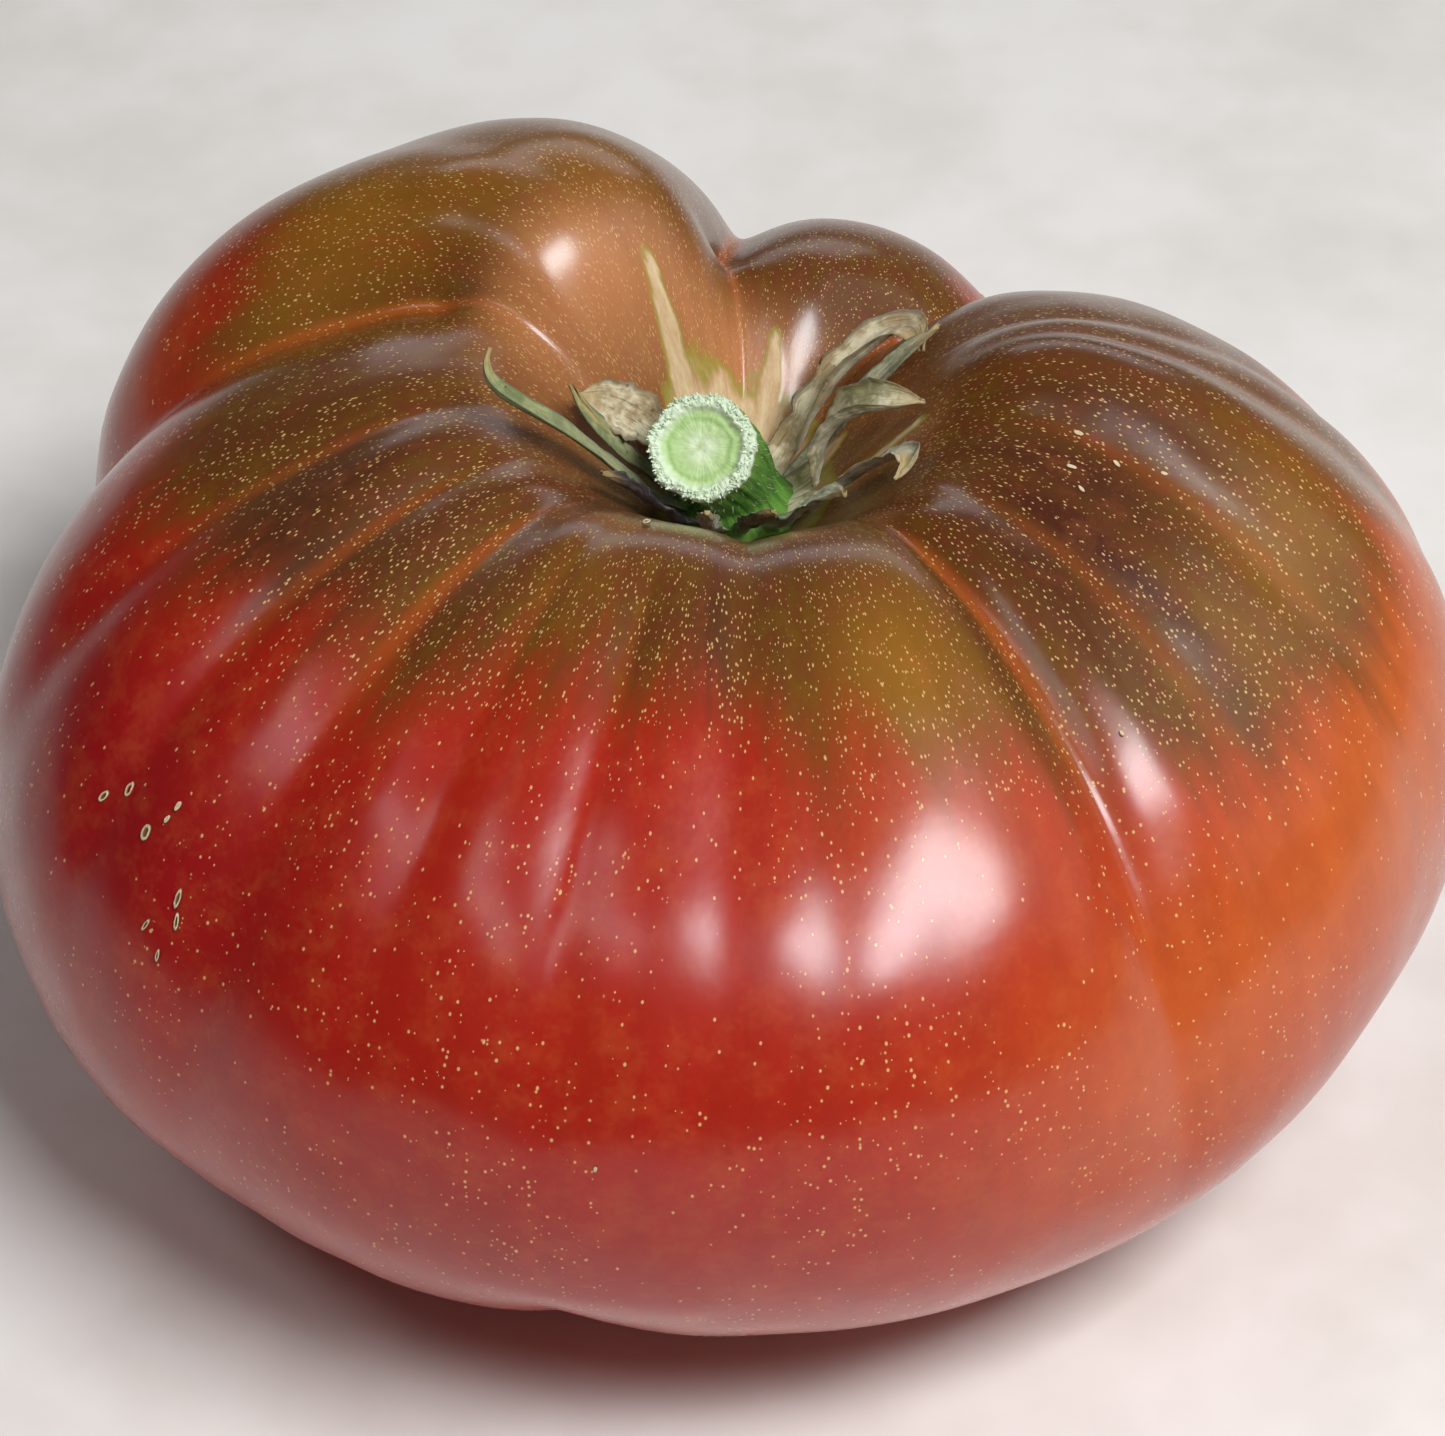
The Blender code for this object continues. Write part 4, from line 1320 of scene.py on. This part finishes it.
def sepal_material(finish):
    title = "Dry sepal " + finish.replace("_", " ")
    if title in bpy.data.materials:
        return bpy.data.materials[title]
    base, second, rim, second_share = SEPAL_FINISHES[finish]
    material, tree, shader = new_material(title, ior=1.4, sheen_weight=0.15)
    blade, place = stored(tree, "on_blade", "Vector"), object_place(tree)
    blotches = effect(tree, "Mottle", vector=place, scale=330.0, contrast=2.4)["Value"]
    veins = cloudy(tree, stretched(tree, blade, (4.5, 0.9, 1.0)), 2.2, 3.0, 0.6)
    second_start = 1 - second_share
    blotched = remap(tree, blotches, second_start - 0.2, second_start + 0.2)
    body = blend_colours(tree, blotched, srgb(*base),
                         srgb(*second))
    body = blend_colours(tree, remap(tree, veins, 0.52, 0.66, 0.0, 0.55), body, srgb(*rim))
    edge = calculate(tree, "ADD", stored(tree, "to_edge"), calculate(tree, "MULTIPLY", calculate(
        tree, "SUBTRACT", blotches, 0.5), 0.35))
    body = blend_colours(tree, remap(tree, edge, 0.72, 1.0, 0.0, 0.75), body, srgb(*rim))
    tip = calculate(tree, "MULTIPLY", remap(tree, stored(tree, "to_tip"), 0.80, 1.0), 0.7)
    body = blend_colours(tree, tip, body, srgb(188, 158, 98))
    specks = effect(tree, "Fine specks", vector=place, spacing=0.0009, size=0.22, amount=0.4)["Mask"]
    body = blend_colours(tree, calculate(tree, "MULTIPLY", specks, 0.6), body, srgb(70, 52, 30))
    tree.links.new(body, shader.inputs["Base Color"])
    tree.links.new(remap(tree, blotches, 0.1, 0.9, 0.55, 0.8), shader.inputs["Roughness"])
    grain = effect(tree, "Skin grain", vector=place, scale=2600.0, coarse_share=0.6)["Height"]
    normal = bump(tree, grain, 0.5, 0.0002)
    normal = bump(tree, veins, 0.5, 0.0004, normal)
    tree.links.new(normal, shader.inputs["Normal"])
    return material


class TOMATO_OT_sepals(bpy.types.Operator):
    """Build the dry sepals round the stem"""

    bl_idname = "tomato.make_sepals"
    bl_label = "Sepals"
    bl_options = {"REGISTER", "UNDO"}

    def execute(self, context):
        for index, (name, dimensions) in enumerate(SEPALS.items()):
            make_sepal(name, index + 1.0, *dimensions)
        return {"FINISHED"}


# ---------------------------------------------------------------- the stage
CAMERA_ELEVATION = 42.0
CAMERA_DISTANCE = 0.45
CAMERA_LENS = 141.0
CAMERA_TARGET_HEIGHT = 0.034

# Lights: azimuth, elevation, distance, width, height, power and colour.
LIGHTS = {
    "window_right": (40, 57, 0.80, 0.42, 0.22, 6.6, (0.92, 0.96, 1.0)),
    "window_left": (-48, 58, 0.80, 0.50, 0.13, 0.75, (0.90, 0.95, 1.0)),
    "sky_behind": (176, 24, 1.1, 1.0, 0.36, 1.5, (0.90, 0.94, 1.0)),
    "side_fill": (95, 35, 1.2, 0.9, 0.9, 1.6, (1.0, 0.98, 0.95)),
}


def direction(azimuth, elevation):
    a, e = math.radians(azimuth), math.radians(elevation)
    return Vector((math.sin(a) * math.cos(e), -math.cos(a) * math.cos(e), math.sin(e)))


def aim(made, place, target):
    made.location = place
    made.rotation_mode = "QUATERNION"
    made.rotation_quaternion = (target - place).to_track_quat("-Z", "Y")


def make_floor():
    """A wide flat floor whose surface is at z = 0."""
    half, cells = 1.6, 24
    ticks = np.linspace(-half, half, cells + 1)
    points = [(x, y, 0.0) for y in ticks for x in ticks]
    wide = cells + 1
    faces = [(r * wide + c, r * wide + c + 1, (r + 1) * wide + c + 1, (r + 1) * wide + c)
             for r in range(cells) for c in range(cells)]
    mesh = bpy.data.meshes.new("floor")
    mesh.from_pydata(points, [], faces)
    floor = add_object("floor", mesh)
    material, tree, shader = new_material("Pale floor", ior=1.45)
    place = object_place(tree)
    clouds = effect(tree, "Mottle", vector=place, scale=22.0, contrast=1.4)["Value"]
    body = blend_colours(tree, remap(tree, clouds, 0.3, 0.8, 0.0, 0.5), tuple(colours().floor),
                         srgb(210, 198, 186))
    tree.links.new(body, shader.inputs["Base Color"])
    tree.links.new(remap(tree, clouds, 0.2, 0.8, 0.55, 0.7), shader.inputs["Roughness"])
    grain = effect(tree, "Skin grain", vector=place, scale=240.0, coarse_share=0.6)["Height"]
    tree.links.new(bump(tree, grain, 0.12, 0.001), shader.inputs["Normal"])
    mesh.materials.append(material)


def make_lights(target):
    for name, (azimuth, elevation, distance, wide, high, power, colour) in LIGHTS.items():
        data = bpy.data.lights.new(name, "AREA")
        data.shape, data.size, data.size_y = "RECTANGLE", wide, high
        data.energy, data.color = power, colour
        lamp = bpy.data.objects.new(name, data)
        bpy.context.scene.collection.objects.link(lamp)
        aim(lamp, target + direction(azimuth, elevation) * distance, target)
    world = bpy.data.worlds.new("Soft room")
    world.use_nodes = True
    tree = world.node_tree
    background = tree.nodes["Background"]
    background.inputs["Strength"].default_value = 0.10
    way = put(tree, "ShaderNodeSeparateXYZ", {"Vector": put(tree, "ShaderNodeTexCoord").outputs["Generated"]})
    room = blend_colours(tree, remap(tree, way.outputs["X"], -0.8, 0.5), (0.22, 0.20, 0.20),
                         (0.95, 0.97, 1.0))
    tree.links.new(room, background.inputs["Color"])
    bpy.context.scene.world = world


def make_camera(target):
    data = bpy.data.cameras.new("camera")
    data.lens, data.sensor_width = CAMERA_LENS, 36.0
    data.clip_start, data.clip_end = 0.01, 20.0
    camera = bpy.data.objects.new("camera", data)
    bpy.context.scene.collection.objects.link(camera)
    aim(camera, target + direction(0, CAMERA_ELEVATION) * CAMERA_DISTANCE, target)
    bpy.context.scene.camera = camera


class TOMATO_OT_stage(bpy.types.Operator):
    """Build the floor, the lights and the camera"""

    bl_idname = "tomato.make_stage"
    bl_label = "Stage"
    bl_options = {"REGISTER", "UNDO"}

    def execute(self, context):
        target = frame_shift() + Vector((0, 0, CAMERA_TARGET_HEIGHT))
        make_floor()
        make_lights(target)
        make_camera(target)
        context.scene.view_settings.view_transform = "Standard"
        return {"FINISHED"}


# ---------------------------------------------------------------- the panel
STEPS = (TOMATO_OT_fruit, TOMATO_OT_marks, TOMATO_OT_stem, TOMATO_OT_sepals, TOMATO_OT_stage)


class TOMATO_PT_panel(bpy.types.Panel):
    """Lists the tomato's pieces, sizes and colours"""

    bl_label = "Ribbed tomato"
    bl_idname = "TOMATO_PT_panel"
    bl_space_type = "VIEW_3D"
    bl_region_type = "UI"
    bl_category = "Tomato"

    def draw(self, context):
        layout = self.layout
        for step in STEPS:
            layout.operator(step.bl_idname)
        for group in (sizes(), colours()):
            box = layout.box()
            for key in group.__annotations__:
                box.prop(group, key)


CLASSES = (TomatoSizes, TomatoColours, *STEPS, TOMATO_PT_panel)


def register():
    for cls in CLASSES:
        bpy.utils.register_class(cls)
    bpy.types.Scene.tomato_sizes = PointerProperty(type=TomatoSizes)
    bpy.types.Scene.tomato_colours = PointerProperty(type=TomatoColours)


def unregister():
    del bpy.types.Scene.tomato_colours
    del bpy.types.Scene.tomato_sizes
    for cls in reversed(CLASSES):
        bpy.utils.unregister_class(cls)


def main():
    register()
    bpy.ops.tomato.make_fruit()
    bpy.ops.tomato.make_marks()
    bpy.ops.tomato.make_stem()
    bpy.ops.tomato.make_sepals()
    bpy.ops.tomato.make_stage()


if __name__ == "__main__":
    main()
